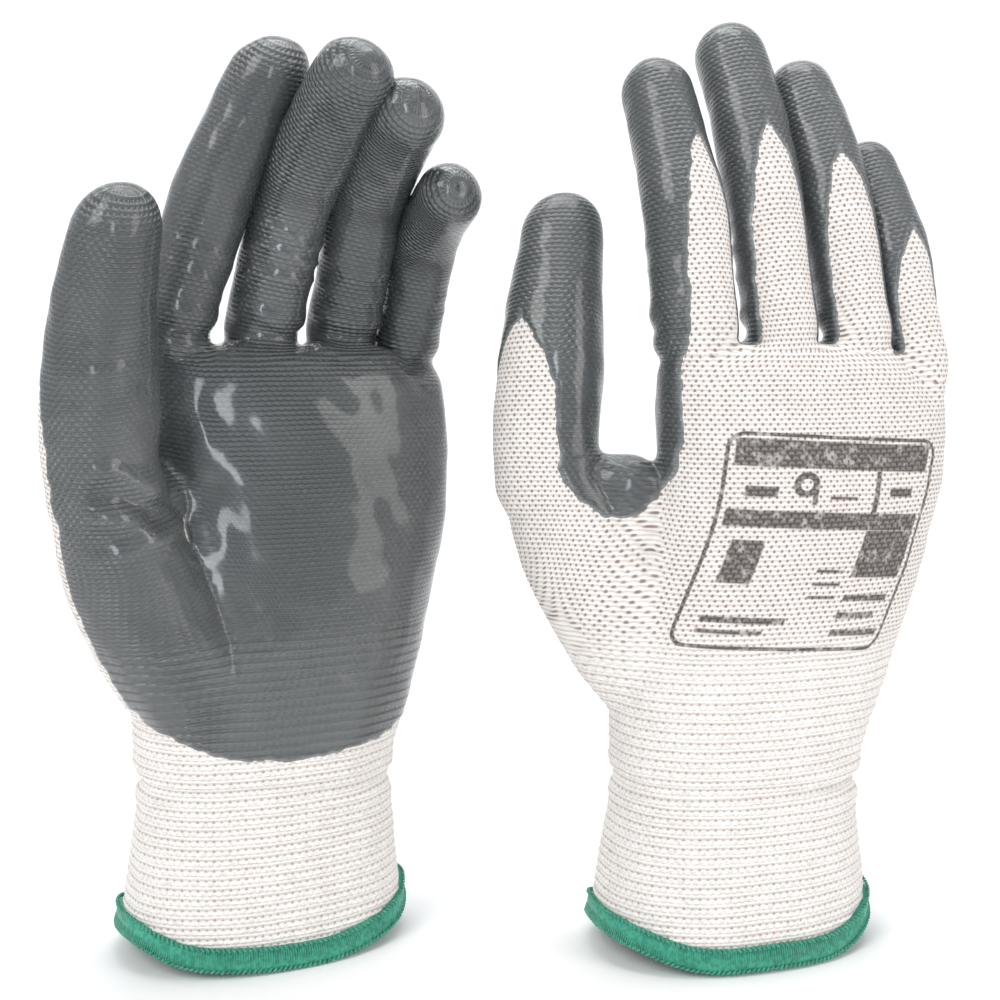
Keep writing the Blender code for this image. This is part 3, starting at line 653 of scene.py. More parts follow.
def fold(distance, depth, width):
    """A groove with a low swell on each side of it."""
    groove = np.exp(-((distance / width) ** 2))
    swell = np.exp(-(((distance - 2.1 * width) / width) ** 2))
    return depth * (0.45 * swell - groove)


def fold_height(side, sheet):
    points, places = sheet["points"], sheet["places"]
    _, p, _, _ = trunk_places(side, points)
    flat = np.column_stack([points[:, 0] - sway_at(side, points[:, 2]), points[:, 2]])
    palm_side = ease(p, 2 * MM, 9 * MM)
    push = np.zeros(len(points))
    for line, depth, width in PALM_FOLDS:
        path = np.array(line) * MM
        ends = np.minimum(np.linalg.norm(flat - path[0], axis=1), np.linalg.norm(flat - path[-1], axis=1))
        fade = 0.35 + 0.65 * ease(ends, 0, 7 * MM)
        push += fold(outline_distance(flat, path), depth * MM, width * MM) * palm_side * fade
    for number, (name, line) in enumerate(LINES[side].items()):
        s, _, out, _ = places.found[name]
        middle, reach, spacing, depth = (value * MM for value in WRINKLES[name])
        mine = places.owner == number
        front = ease(out, -0.35 * line.depth / 2, 0.5 * line.depth / 2)
        shifted = s + 2.4 * MM * wander(points, 22 * MM, 20 + number)
        wave = np.cos((shifted - middle) / spacing * math.pi)
        window = np.exp(-(((s - middle) / reach) ** 4))
        push += np.where(mine, depth * (0.6 - np.abs(wave) ** 0.7 * 1.2) * window * front, 0)
        if name != "thumb":
            push += np.where(mine, fold(np.abs(s + 8 * MM), 0.9 * MM, 2.2 * MM) * front, 0)
    tilt = points[:, 2] - 46 * MM + 0.05 * points[:, 0] - 0.8 * MM * wander(points, 40 * MM, 7)
    push += fold(np.abs(tilt), 1.3 * MM, 2.0 * MM) * (0.6 + 0.4 * ease(-p, -20 * MM, 10 * MM))
    push += 0.28 * MM * wander(points, 26 * MM, 11) + 0.10 * MM * wander(points, 9 * MM, 12)
    return push * ease(points[:, 2], 4 * MM, 14 * MM)


def normals_of(points, triangles):
    a, b, c = (points[triangles[:, k]] for k in range(3))
    face = np.cross(b - a, c - a)
    total = np.zeros_like(points)
    for k in range(3):
        np.add.at(total, triangles[:, k], face)
    return unit(total)


for side, sheet in SHEETS.items():
    push = fold_height(side, sheet)
    normals = normals_of(sheet["points"], sheet["triangles"])
    sheet["knit"] = sheet["points"] + normals * push[:, None]
    for number, (name, line) in enumerate(LINES[side].items()):
        mine = sheet["places"].owner == number
        sheet["knit"][mine] += line.closing(sheet["places"].found[name][0][mine])
    sheet["normals"] = normals_of(sheet["knit"], sheet["triangles"])
    print(side, "folds go from", round(push.min() / MM, 2), "to", round(push.max() / MM, 2), "mm")

# %% [markdown]
# ## A short way to write materials
# A material is a net of nodes, and its sums are easier to read as sums. `Value` wraps one socket and adds
# a Math node for each sign in an expression. `Finish` wraps one material, and its `node` method makes any
# other node from its type, its settings and its sockets.

# %% Sockets that can be added and multiplied
class Value:
    """One number that varies over a surface."""

    def __init__(self, finish, socket):
        self.finish, self.socket = finish, socket

    def math(self, operation, *others):
        sockets = {number: item for number, item in enumerate((self, *others))}
        return self.finish.node("ShaderNodeMath", {"operation": operation}, sockets)

    def __add__(self, other):
        return self.math("ADD", other)

    def __mul__(self, other):
        return self.math("MULTIPLY", other)

    def __sub__(self, other):
        return self.math("SUBTRACT", other)

    def __rsub__(self, other):
        return (self * -1) + other

    def __truediv__(self, other):
        return self.math("DIVIDE", other)

    def __neg__(self):
        return self * -1

    __radd__, __rmul__ = __add__, __mul__


class Finish:
    """One material, named after a real finish."""

    def __init__(self, name, **constants):
        self.material = bpy.data.materials.new(name)
        self.material.use_nodes = True
        self.tree = self.material.node_tree
        self.shader = self.tree.nodes["Principled BSDF"]
        for socket, value in constants.items():
            self.shader.inputs[socket.replace("_", " ")].default_value = value

    def fill(self, socket, value):
        if isinstance(value, Value):
            self.tree.links.new(value.socket, socket)
        elif isinstance(value, tuple) and len(value) == 3 and socket.type == "RGBA":
            socket.default_value = (*value, 1)
        else:
            socket.default_value = value

    def node(self, kind, settings=None, sockets=None, output=0):
        made = self.tree.nodes.new(kind)
        for name, value in (settings or {}).items():
            if name == "stops":
                for stop, (place, colour) in zip(made.color_ramp.elements, value):
                    stop.position, stop.color = place, (*colour, 1)
            else:
                setattr(made, name, value)
        for name, value in (sockets or {}).items():
            self.fill(made.inputs[name], value)
        return Value(self, made.outputs[output])

    def set(self, **sockets):
        for name, value in sockets.items():
            self.fill(self.shader.inputs[name.replace("_", " ")], value)
        return self.material

    def attribute(self, name, output="Fac"):
        return self.node("ShaderNodeAttribute", {"attribute_name": name}, output=output)

    def noise(self, where, scale, detail=2.0):
        return self.node("ShaderNodeTexNoise", {}, {"Vector": where, "Scale": scale, "Detail": detail})

    def smooth(self, value, low, high, start=0.0, end=1.0):
        settings = {"interpolation_type": "SMOOTHSTEP"}
        sockets = {"Value": value, "From Min": low, "From Max": high, "To Min": start, "To Max": end}
        return self.node("ShaderNodeMapRange", settings, sockets)

    def mix(self, share, first, second):
        sockets = {0: share, 6: first, 7: second}
        return self.node("ShaderNodeMix", {"data_type": "RGBA"}, sockets, output=2)

    def bump(self, height, distance, strength=1.0):
        return self.node("ShaderNodeBump", {}, {"Height": height, "Distance": distance, "Strength": strength})

    def position(self):
        return self.node("ShaderNodeTexCoord", output="Object")


print("finishes can now be written as sums")

# %% [markdown]
# ## The knit
# The liner is plain knit in off-white nylon. Each row of loops leaves staggered pin holes, and a wavy white
# ridge of yarn runs between the rows. The holes are coloured a dark pinkish brown, a painted shade of the
# glove's dark inside, and the valleys between the ridges get a lighter painted shade. Two cosines of the
# point's place in the knit, multiplied, give exactly such a staggered grid. In the cuff every second
# course is covered by elastic, so the holes there sit in narrow bands.

# %% White knit
WALE = 1.98
COURSE = 1.26
FULL_TURN = 2 * math.pi


def knit_pattern(finish):
    """Heights and marks of the knit: ridge, hole, the elastic's share, and the cloth's own unevenness."""
    across, up, elastic = finish.attribute("wale"), finish.attribute("course"), finish.attribute("elastic")
    where = finish.position()
    unevenness = finish.noise(where, 160, 3)
    across = across + unevenness * 0.5
    up = up + finish.noise(where, 90) * 0.55
    beat = (across * (FULL_TURN / WALE)).math("COSINE")
    row = (up * (math.pi / COURSE)).math("COSINE")
    stagger = beat * row
    open_loop = 0.88 + (across * (math.pi / WALE)).math("COSINE") * 0.12
    hole = finish.smooth(stagger * open_loop, 0.22, 0.92)
    ridge = 0.5 - (up * (FULL_TURN / COURSE) + beat * row * 0.9).math("COSINE") * 0.5
    band = finish.smooth((up * (math.pi / COURSE)).math("COSINE"), -0.55, 0.3)
    hole = hole * (1 - elastic * (1 - band * 0.55))
    return ridge, hole, elastic, unevenness


def yarn_colour_with_shade(finish, ridge, hole, unevenness):
    where = finish.position()
    tone = finish.noise(where, 14, 3)
    yarn = finish.mix(tone, (0.79, 0.75, 0.71), (0.88, 0.855, 0.825))
    # painted shade: the low valleys between the yarn ridges are coloured a darker brownish tone
    valley_shade = finish.mix(finish.smooth(ridge, 0.0, 0.85), (0.62, 0.545, 0.50), yarn)
    soft = finish.mix(finish.smooth(unevenness, 0.3, 0.7) * 0.25, valley_shade, (0.94, 0.93, 0.91))
    # painted shade: the pin holes are coloured a dark pinkish brown for the shaded inside of the glove
    return finish.mix(hole * 0.9, soft, (0.25, 0.175, 0.15))


def make_knit():
    finish = Finish(
        "knit_white", Roughness=0.8, Sheen_Weight=0.25, Sheen_Roughness=0.5, Specular_IOR_Level=0.25
    )
    ridge, hole, _, unevenness = knit_pattern(finish)
    fuzz = finish.noise(finish.position(), 1400, 2)
    height = ridge * 0.55 - hole * 0.9 + fuzz * 0.22
    return finish.set(
        Base_Color=yarn_colour_with_shade(finish, ridge, hole, unevenness),
        Roughness=finish.smooth(ridge, 0, 1, 0.92, 0.72),
        Normal=finish.bump(height, 0.45 * MM, 0.8),
    )


KNIT = make_knit()
print("made", KNIT.name, "with", len(KNIT.node_tree.nodes), "nodes")

# %% [markdown]
# ## The dip
# Nitrile is a hard, wet-looking grey rubber. It fills the pin holes but keeps the ridges of the knit
# below, so that highlights break into rows of small glints. Where the dip is thick, the ridges drown and
# the rubber shines smoothly. At its edge it is thin, and the white yarn lightens it.

# %% Grey nitrile
def make_dip():
    finish = Finish("grey_nitrile", Specular_IOR_Level=0.65, Coat_Roughness=0.10)
    ridge, hole, elastic, _ = knit_pattern(finish)
    where = finish.position()
    depth = finish.attribute("dip_depth")
    thick = finish.smooth(finish.noise(where, 22, 2), 0.40, 0.80)
    rows = ridge * (1 - hole * 0.5)
    up = finish.attribute("course")
    lines = 0.5 + (up * (math.pi / COURSE)).math("COSINE") * 0.5
    relief = rows * (1 - thick * 0.6) * (1 - elastic * 0.5) + lines * elastic * 1.3
    pits = finish.noise(where, 700, 2)
    height = relief * 1.15 + pits * 0.25 + finish.noise(where, 60, 2) * 1.5
    tone = finish.mix(finish.noise(where, 30, 4), (0.050, 0.058, 0.060), (0.086, 0.096, 0.098))
    # painted highlight on the raised knit rows, then painted shade in the thinly covered pin holes
    tone = finish.mix(relief * 0.35, tone, (0.108, 0.119, 0.120))
    tone = finish.mix(hole * (1 - thick) * 0.4, tone, (0.032, 0.036, 0.037))
    thin = finish.smooth(depth, 1.2, -0.2)
    tone = finish.mix(thin * 0.35, tone, (0.42, 0.43, 0.425))
    return finish.set(
        Base_Color=tone,
        Roughness=finish.smooth(finish.noise(where, 45, 3) + thick * -0.25, -0.1, 1.0, 0.17, 0.38),
        Coat_Weight=finish.smooth(thick, -0.2, 1.2, 0.45, 1.0),
        Normal=finish.bump(height, 0.42 * MM, 1.0),
    )


DIP = make_dip()
print("made", DIP.name, "with", len(DIP.node_tree.nodes), "nodes")

# %% [markdown]
# ## The size print
# Gloves carry a stamp on the back: a frame with bands and boxes for size and class. Only a plain version
# is made, with a frame, bars and a size number, in the knit's own pattern so that the ink sits on the
# yarn and skips the holes. The stamp is drawn with signed distances in the print's own two coordinates,
# which run from 0 to 1 across and up the frame.

# %% Ink over the knit
def box_mark(finish, across, up, box, edge=0.006):
    """1 inside a box given as left, right, low and high, and 0 outside it."""
    left, right, low, high = box
    sides = finish.smooth(across, left - edge, left + edge) * finish.smooth(across, right + edge, right - edge)
    return sides * finish.smooth(up, low - edge, low + edge) * finish.smooth(up, high + edge, high - edge)


PRINT_BARS = [
    (0.04, 0.96, 0.84, 0.97), (0.04, 0.96, 0.56, 0.64), (0.70, 0.725, 0.64, 0.84), (0.48, 0.62, 0.70, 0.715),
    (0.10, 0.24, 0.70, 0.75), (0.52, 0.66, 0.36, 0.375), (0.52, 0.66, 0.30, 0.315), (0.52, 0.66, 0.24, 0.255),
    (0.10, 0.46, 0.12, 0.15), (0.10, 0.38, 0.07, 0.09), (0.70, 0.96, 0.34, 0.56), (0.78, 0.90, 0.72, 0.76),
    (0.70, 0.96, 0.07, 0.10), (0.70, 0.90, 0.15, 0.18), (0.70, 0.94, 0.23, 0.26), (0.10, 0.24, 0.30, 0.50),
]


def make_ink():
    finish = Finish("stamp_ink", Roughness=0.85, Specular_IOR_Level=0.2)
    ridge, hole, _, unevenness = knit_pattern(finish)
    across, up = finish.attribute("print_across"), finish.attribute("print_up")
    mark = box_mark(finish, across, up, PRINT_BARS[0])
    for bar in PRINT_BARS[1:]:
        mark = mark.math("MAXIMUM", box_mark(finish, across, up, bar))
    corner_x = ((across - 0.5).math("ABSOLUTE") - 0.42).math("MAXIMUM", 0)
    corner_y = ((up - 0.5).math("ABSOLUTE") - 0.42).math("MAXIMUM", 0)
    reach = (corner_x * corner_x + corner_y * corner_y).math("SQRT")
    frame_line = finish.smooth(reach, 0.058, 0.066) * finish.smooth(reach, 0.084, 0.076)
    ring_x, ring_y = (across - 0.36) * 0.62, (up - 0.765) * 0.62
    ring = (ring_x * ring_x + ring_y * ring_y).math("SQRT")
    number = finish.smooth(ring, 0.014, 0.020) * finish.smooth(ring, 0.040, 0.034)
    stem = box_mark(finish, across, up, (0.396, 0.420, 0.672, 0.765))
    number = number.math("MAXIMUM", stem)
    mark = mark.math("MAXIMUM", frame_line).math("MAXIMUM", number)
    worn = finish.smooth(finish.noise(finish.position(), 420, 2), 0.30, 0.50)
    mark = mark * (0.55 + worn * 0.45) * (0.72 + ridge * 0.28)
    # under the ink lies the knit's colour, with its painted shade in the holes and valleys
    colour = finish.mix(mark * 0.93, yarn_colour_with_shade(finish, ridge, hole, unevenness), (0.035, 0.028, 0.025))
    fuzz = finish.noise(finish.position(), 1400, 2)
    height = ridge * 0.55 - hole * 0.9 + fuzz * 0.22
    return finish.set(Base_Color=colour, Normal=finish.bump(height, 0.45 * MM, 0.8))


INK = make_ink()
print("made", INK.name, "with", len(PRINT_BARS), "bars")

# %% [markdown]
# ## Thread and elastic
# The hem is sewn with a green polyester thread that wraps the edge hundreds of times. The cuff's elastic
# shows as bright smooth lines of the same white yarn. Both are plain fibres: a base colour that varies
# a little along and between the threads, and fine ply lines.

# %% Green thread and white elastic
def make_fibre(name, dark, light, ply_scale):
    finish = Finish(name, Sheen_Weight=0.2, Specular_IOR_Level=0.3)
    where = finish.position()
    tone = finish.mix(finish.noise(where, 110, 4), dark, light)
    ply = finish.noise(where, ply_scale, 2)
    tone = finish.mix(finish.smooth(ply, 0.42, 0.62) * 0.45, tone, tuple(c * 0.55 for c in dark))
    return finish.set(
        Base_Color=tone,
        Roughness=finish.smooth(ply, 0.2, 0.8, 0.5, 0.8),
        Normal=finish.bump(ply, 0.2 * MM, 0.6),
    )


THREAD = make_fibre("green_polyester", (0.022, 0.235, 0.150), (0.075, 0.46, 0.31), 900)
ELASTIC = make_fibre("white_elastic", (0.84, 0.81, 0.775), (0.95, 0.935, 0.91), 1200)
ELASTIC.node_tree.nodes["Principled BSDF"].inputs["Sheen Weight"].default_value = 0.25
print("made", THREAD.name, "and", ELASTIC.name)

# %% [markdown]
# ## From the net to separate pieces
# The knit and the dip are taken from the same net, piece by piece. Every piece keeps the normals of the
# whole glove, so that no line shows where two pieces meet. The cuff and the hand also get an inner wall,
# because one can look into an empty glove.

# %% Making the knit pieces and the dip pieces
DIP_THICKNESS = 0.55 * MM
DIP_DIVE = 0.45 * MM
WALL = 1.2 * MM
PIECES = ["cuff", "palm"] + [f"{name}_{part}" for name in DIGITS for part in ("base", "tip")]


def new_piece(name, points, triangles, normals, material, attributes):
    """A mesh object from the points that these triangles use."""
    used, index = np.unique(triangles, return_inverse=True)
    triangles = index.reshape(-1, 3)
    mesh = bpy.data.meshes.new(name)
    mesh.vertices.add(len(used))
    mesh.vertices.foreach_set("co", points[used].astype(np.float32).ravel())
    mesh.loops.add(triangles.size)
    mesh.loops.foreach_set("vertex_index", triangles.astype(np.int32).ravel())
    mesh.polygons.add(len(triangles))
    mesh.polygons.foreach_set("loop_start", np.arange(0, triangles.size, 3, dtype=np.int32))
    mesh.update(calc_edges=True)
    for key, values in attributes.items():
        made = mesh.attributes.new(key, "FLOAT", "POINT")
        made.data.foreach_set("value", values[used].astype(np.float32))
    mesh.shade_smooth()
    mesh.normals_split_custom_set_from_vertices(normals[used].tolist())
    mesh.materials.append(material)
    made = bpy.data.objects.new(name, mesh)
    bpy.context.scene.collection.objects.link(made)
    return made


def way_round(side):
    """A mirrored glove's triangles are wound the other way."""
    return 1 if GLOVES[side]["facing"] > 0 else -1


def join_to_model(piece, side, part, node):
    """Attaches a cuff piece to the cuff's body, bakes any other piece's transform into its mesh, and hides the CAD
    node it stands for, if one is given.
    """
    name, _, end = part.rpartition("_")
    if part == "cuff":
        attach(piece, f"{side}_cuff")
    elif part == "palm":
        start, stop = (Vector((GLOVES[side]["place"], PAIR_Y, z)) for z in WRIST_ZONE)
        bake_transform(piece)
    else:
        line = LINES[side][name]
        before = f"{side}_hand" if end == "base" else f"{side}_{name}_base"
        zone = bend_zone(line, "base" if end == "base" else "middle")
        start, stop = (Vector(to_table(side, np.array(spot))) for spot in zone)
        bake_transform(piece)
    if node:
        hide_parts(node)
    return piece


def knit_attributes(sheet):
    return {
        "wale": sheet["across"] / MM, "course": sheet["up"] / MM,
        "elastic": 1 - ease(sheet["points"][:, 2], 80 * MM, 92 * MM),
        "dip_depth": sheet["dip"] / MM,
    }


HEM_RISE = 7.0 * MM


def hem_lift(across):
    """How far the hem rises towards the cuff's two sides."""
    return HEM_RISE * np.clip(np.abs(across) / (39 * MM), 0, 1) ** 3.2


def make_layers(side):
    sheet = SHEETS[side]
    lowest = hem_lift(sheet["knit"][:, 0]) + 1.6 * MM
    above_hem = (sheet["knit"][:, 2] > lowest)[sheet["triangles"]].any(axis=1)
    sheet["knit"][:, 2] = np.maximum(sheet["knit"][:, 2], lowest)
    for key in ("triangles", "label"):
        sheet[key] = sheet[key][above_hem]
    turned = sheet["triangles"][:, ::way_round(side)]
    normals = to_table(side, sheet["normals"], place=False)
    attributes = knit_attributes(sheet)
    table_points = to_table(side, sheet["knit"])
    lift = -DIP_DIVE + (DIP_THICKNESS + DIP_DIVE) * ease(sheet["dip"], -0.9 * MM, 0.8 * MM)
    dip_points = to_table(side, sheet["knit"] + sheet["normals"] * lift[:, None])
    dip_normals = normals_of(dip_points, turned)
    inner_points = table_points - normals * WALL
    count = len(table_points)
    for number, part in enumerate(PIECES):
        mine = turned[sheet["label"] == number]
        points, faces, piece_normals, values = table_points, mine, normals, attributes
        if number < 2:
            low = mine[sheet["points"][mine, 2].max(axis=1) < 100 * MM]
            points = np.vstack([table_points, inner_points])
            piece_normals = np.vstack([normals, -normals])
            faces = np.vstack([mine, low[:, ::-1] + count])
            values = {key: np.concatenate([value, value]) for key, value in attributes.items()}
        node = f"{side}_cuff" if part == "cuff" else f"{side}_{part}_liner"
        piece = new_piece(f"{side}_{part}_knit", points, faces, piece_normals, KNIT, values)
        join_to_model(piece, side, part, node)
        dipped = mine[sheet["dip"][mine].max(axis=1) > -0.9 * MM]
        if part != "cuff" and len(dipped):
            piece = new_piece(f"{side}_{part}_dip", dip_points, dipped, dip_normals, DIP, attributes)
            join_to_model(piece, side, part, f"{side}_{part}_coat")


for side in GLOVES:
    make_layers(side)

# %% [markdown]
# ## The elastic in the cuff
# Every second course of the cuff holds an elastic yarn, which pulls the knit into raised lines from the
# hem to the heel of the hand. The lines follow the fabric exactly, so each one starts as a loop of points
# read from the net at one height. Geometry Nodes then turn all loops into round yarns at once.

# %% Node trees that follow a path
def new_group(name, inputs):
    """A Geometry Nodes tree with named inputs, and a helper that adds its nodes."""
    group = bpy.data.node_groups.new(name, "GeometryNodeTree")
    group.interface.new_socket("Geometry", in_out="INPUT", socket_type="NodeSocketGeometry")
    group.interface.new_socket("Geometry", in_out="OUTPUT", socket_type="NodeSocketGeometry")
    for label, kind in inputs.items():
        group.interface.new_socket(label, in_out="INPUT", socket_type=f"NodeSocket{kind}")
    source, result = group.nodes.new("NodeGroupInput"), group.nodes.new("NodeGroupOutput")

    def add(kind, settings=None, sockets=None):
        made = group.nodes.new(kind)
        for key, value in (settings or {}).items():
            setattr(made, key, value)
        for key, value in (sockets or {}).items():
            if hasattr(value, "is_output"):
                group.links.new(value, made.inputs[key])
            else:
                made.inputs[key].default_value = value
        return made

    return group, source, result, add


def run_group(obj, group, values):
    """Sets a tree's inputs, turns its result into a plain mesh and removes the modifier."""
    modifier = obj.modifiers.new(group.name, "NODES")
    modifier.node_group = group
    sockets = {item.name: item.identifier for item in group.interface.items_tree if item.in_out == "INPUT"}
    for label, value in values.items():
        modifier[sockets[label]] = value
    bpy.context.view_layer.update()
    graph = bpy.context.evaluated_depsgraph_get()
    mesh = bpy.data.meshes.new_from_object(obj.evaluated_get(graph))
    obj.modifiers.remove(modifier)
    obj.data = mesh
    return obj


def yarn_group():
    group, source, result, add = new_group("yarn_along_loops", {"Yarn radius": "Float", "Material": "Material"})
    curve = add("GeometryNodeMeshToCurve", sockets={"Mesh": source.outputs["Geometry"]})
    radius = source.outputs["Yarn radius"]
    round_yarn = add("GeometryNodeCurvePrimitiveCircle", sockets={"Resolution": 5, "Radius": radius})
    profile = round_yarn.outputs[0]
    tube = add("GeometryNodeCurveToMesh", sockets={"Curve": curve.outputs[0], "Profile Curve": profile})
    real = add("GeometryNodeRealizeInstances", sockets={0: tube.outputs[0]})
    material = source.outputs["Material"]
    finish = add("GeometryNodeSetMaterial", sockets={"Geometry": real.outputs[0], "Material": material})
    group.links.new(finish.outputs[0], result.inputs[0])
    return group


YARN_GROUP = yarn_group()
print("tree inputs:", [item.name for item in YARN_GROUP.interface.items_tree if item.in_out == "INPUT"])

# %% Reading loops from the net
ELASTIC_PITCH = 2 * COURSE * MM
ELASTIC_TOP = 86 * MM
ELASTIC_RADIUS = 0.42 * MM


def loop_at(side, z, count=200):
    """The knit's outline at one height, in the glove's frame, from its widest point round, with
    each point's depth under the dip."""
    sheet = SHEETS[side]
    points, triangles = sheet["knit"], sheet["triangles"]
    tall = points[triangles][:, :, 2]
    hit = triangles[(tall.min(axis=1) <= z) & (tall.max(axis=1) > z)]
    found, dips, outs = [], [], []
    for a, b in ((0, 1), (1, 2), (2, 0)):
        low, high = points[hit[:, a]], points[hit[:, b]]
        cross = (low[:, 2] <= z) != (high[:, 2] <= z)
        share = ((z - low[cross, 2]) / (high[cross, 2] - low[cross, 2]))[:, None]
        found.append(low[cross] + (high[cross] - low[cross]) * share)
        dips.append(sheet["dip"][hit[cross, a]])
        outs.append(sheet["normals"][hit[cross, a]])
    found, dips, outs = np.vstack(found), np.concatenate(dips), np.vstack(outs)
    centre = found.mean(axis=0)
    angle = np.arctan2(found[:, 1] - centre[1], found[:, 0] - centre[0])
    order = np.argsort(angle)
    at = np.linspace(-math.pi, math.pi, count, endpoint=False)

    def around(values):
        return np.interp(at, angle[order], values[order], period=2 * math.pi)

    loop = np.column_stack([around(found[:, k]) for k in range(3)])
    out = unit(np.column_stack([around(outs[:, k]) for k in range(3)]))
    return loop, out, around(dips)


def elastic_rows(side):
    """Every elastic course, with the points that lie in the open knit."""
    rows = []
    for k in range(3, int(ELASTIC_TOP / ELASTIC_PITCH)):
        z = (k + 0.5) * ELASTIC_PITCH
        loop, out, dip = loop_at(side, z)
        sink = 0.16 * MM + 0.5 * MM * ease(dip, -1.2 * MM, 0.2 * MM) + 0.3 * MM * ease(z, 74 * MM, ELASTIC_TOP)
        rows.append((z, loop - out * np.asarray(sink)[:, None]))
    return rows


def loops_object(name, side, loops):
    mesh = bpy.data.meshes.new(name)
    points = np.vstack([to_table(side, loop) for loop in loops])
    edges, first = [], 0
    for loop in loops:
        edges += [(first + i, first + (i + 1) % len(loop)) for i in range(len(loop))]
        first += len(loop)
    mesh.from_pydata(points.tolist(), edges, [])
    made = bpy.data.objects.new(name, mesh)
    bpy.context.scene.collection.objects.link(made)
    return made


for side in GLOVES:
    rows = elastic_rows(side)
    for part, loops in (
        ("cuff", [loop for z, loop in rows if z < CUFF_CUT]),
        ("palm", [loop for z, loop in rows if z > CUFF_CUT]),
    ):
        piece = loops_object(f"{side}_{part}_elastic", side, loops)
        run_group(piece, YARN_GROUP, {"Yarn radius": ELASTIC_RADIUS, "Material": ELASTIC})
        piece.data.shade_smooth()
        join_to_model(piece, side, part, None)
        print(piece.name, len(loops), "yarns,", len(piece.data.polygons), "faces")

# %% [markdown]
# ## The overlocked hem
# An overlock machine trims the cuff's edge and wraps it in thread, so the hem is a soft, slightly flared
# roll with hundreds of wraps and a row of looper stitches on each edge. The roll is one loft round the
# cuff. The wraps and stitches are repeated along it by Geometry Nodes, from a line of points that know
# which way is out and which way runs along the hem.

# %% The roll
HEM_HEIGHT = 6.2 * MM
HEM_POINTS = 220
HEM_OUT, HEM_IN = 1.3 * MM, 2.7 * MM


def hem_line(side, share, grow):
    """A line round the hem, from its lower edge at 0 to its upper edge at 1."""
    angles = np.linspace(0, 2 * math.pi, HEM_POINTS, endpoint=False)
    x, p, half_width, half_depth = palm_section(share * HEM_HEIGHT + HEM_RISE * np.abs(np.cos(angles)) ** 3)
    across, out = oval(angles, half_width + grow, half_depth + grow, ROUNDNESS)
    lift = hem_lift(across) + 0.3 * MM + 0.25 * MM * (1 + np.sin(angles * 7 + GLOVES[side]["turn"]))
    return np.column_stack([x + across, p + out, share * HEM_HEIGHT + lift])


def make_roll(side):
    turns = np.linspace(0, 2 * math.pi, 18, endpoint=False)
    rings = []
    for turn in turns:
        away, tall = oval(turn, (HEM_OUT + HEM_IN) / 2, 0.5, 3.2)
        share = 0.5 + float(tall)
        rings.append(hem_line(side, share, (HEM_OUT - HEM_IN) / 2 + float(away)))
    work = bmesh.new()
    made = [[work.verts.new(point) for point in to_table(side, ring)] for ring in rings]
    for low, high in zip(made, made[1:] + made[:1]):
        for i in range(HEM_POINTS):
            j = (i + 1) % HEM_POINTS
            work.faces.new((low[i], low[j], high[j], high[i]))
    bmesh.ops.recalc_face_normals(work, faces=work.faces)
    mesh = bpy.data.meshes.new(f"{side}_hem_roll")
    work.to_mesh(mesh)
    work.free()
    mesh.shade_smooth()
    mesh.materials.append(THREAD)
    roll = bpy.data.objects.new(f"{side}_hem_roll", mesh)
    bpy.context.scene.collection.objects.link(roll)
    return roll


for side in GLOVES:
    roll = make_roll(side)
    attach(roll, f"{side}_cuff")
    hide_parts(f"{side}_hem")
    print(roll.name, len(roll.data.polygons), "faces")

# %% Wraps and looper stitches
WRAP_SPACING = 0.62 * MM
WRAP_RADIUS = 0.27 * MM
LOOPER_SPACING = 1.35 * MM


def wrap_group():
    """Copies one stitch to every point, turned to the point's out and along directions, each a little different."""
    inputs = {
        "Stitch": "Object", "Lean": "Float", "Lean change": "Float",
        "Size change": "Float", "Seed": "Int", "Material": "Material",
    }
    group, source, result, add = new_group("stitches_on_points", inputs)
    out = add("GeometryNodeInputNamedAttribute", {"data_type": "FLOAT_VECTOR"}, {"Name": "out"})
    along = add("GeometryNodeInputNamedAttribute", {"data_type": "FLOAT_VECTOR"}, {"Name": "along"})
    face_out = add("FunctionNodeAlignRotationToVector", {"axis": "X"}, {"Vector": out.outputs[0]})
    run = add(
        "FunctionNodeAlignRotationToVector", {"axis": "Y", "pivot_axis": "X"},
        {"Rotation": face_out.outputs[0], "Vector": along.outputs[0]},
    )
    seed = source.outputs["Seed"]
    leaning = {0: source.outputs["Lean"], 1: source.outputs["Lean change"]}
    low = add("ShaderNodeMath", {"operation": "SUBTRACT"}, leaning)
    high = add("ShaderNodeMath", {"operation": "ADD"}, leaning)
    leans = {2: low.outputs[0], 3: high.outputs[0], "Seed": seed}
    lean = add("FunctionNodeRandomValue", {"data_type": "FLOAT"}, leans)
    euler = add("ShaderNodeCombineXYZ", sockets={"X": lean.outputs[1]})
    tilt = add("FunctionNodeEulerToRotation", sockets={0: euler.outputs[0]})
    turns = {"Rotation": run.outputs[0], "Rotate By": tilt.outputs[0]}
    turn = add("FunctionNodeRotateRotation", {"rotation_space": "LOCAL"}, turns)
    least = add("ShaderNodeMath", {"operation": "SUBTRACT"}, {0: 1.0, 1: source.outputs["Size change"]})
    most = add("ShaderNodeMath", {"operation": "ADD"}, {0: 1.0, 1: source.outputs["Size change"]})
    sizes = {2: least.outputs[0], 3: most.outputs[0], "Seed": seed}
    size = add("FunctionNodeRandomValue", {"data_type": "FLOAT"}, sizes)
    shape = add("GeometryNodeObjectInfo", {"transform_space": "ORIGINAL"}, {"Object": source.outputs["Stitch"]})
    copies = add(
        "GeometryNodeInstanceOnPoints",
        sockets={
            "Points": source.outputs["Geometry"], "Instance": shape.outputs["Geometry"],
            "Rotation": turn.outputs[0], "Scale": size.outputs[1],
        },
    )
    real = add("GeometryNodeRealizeInstances", sockets={0: copies.outputs[0]})
    material = source.outputs["Material"]
    finish = add("GeometryNodeSetMaterial", sockets={"Geometry": real.outputs[0], "Material": material})
    group.links.new(finish.outputs[0], result.inputs[0])
    return group


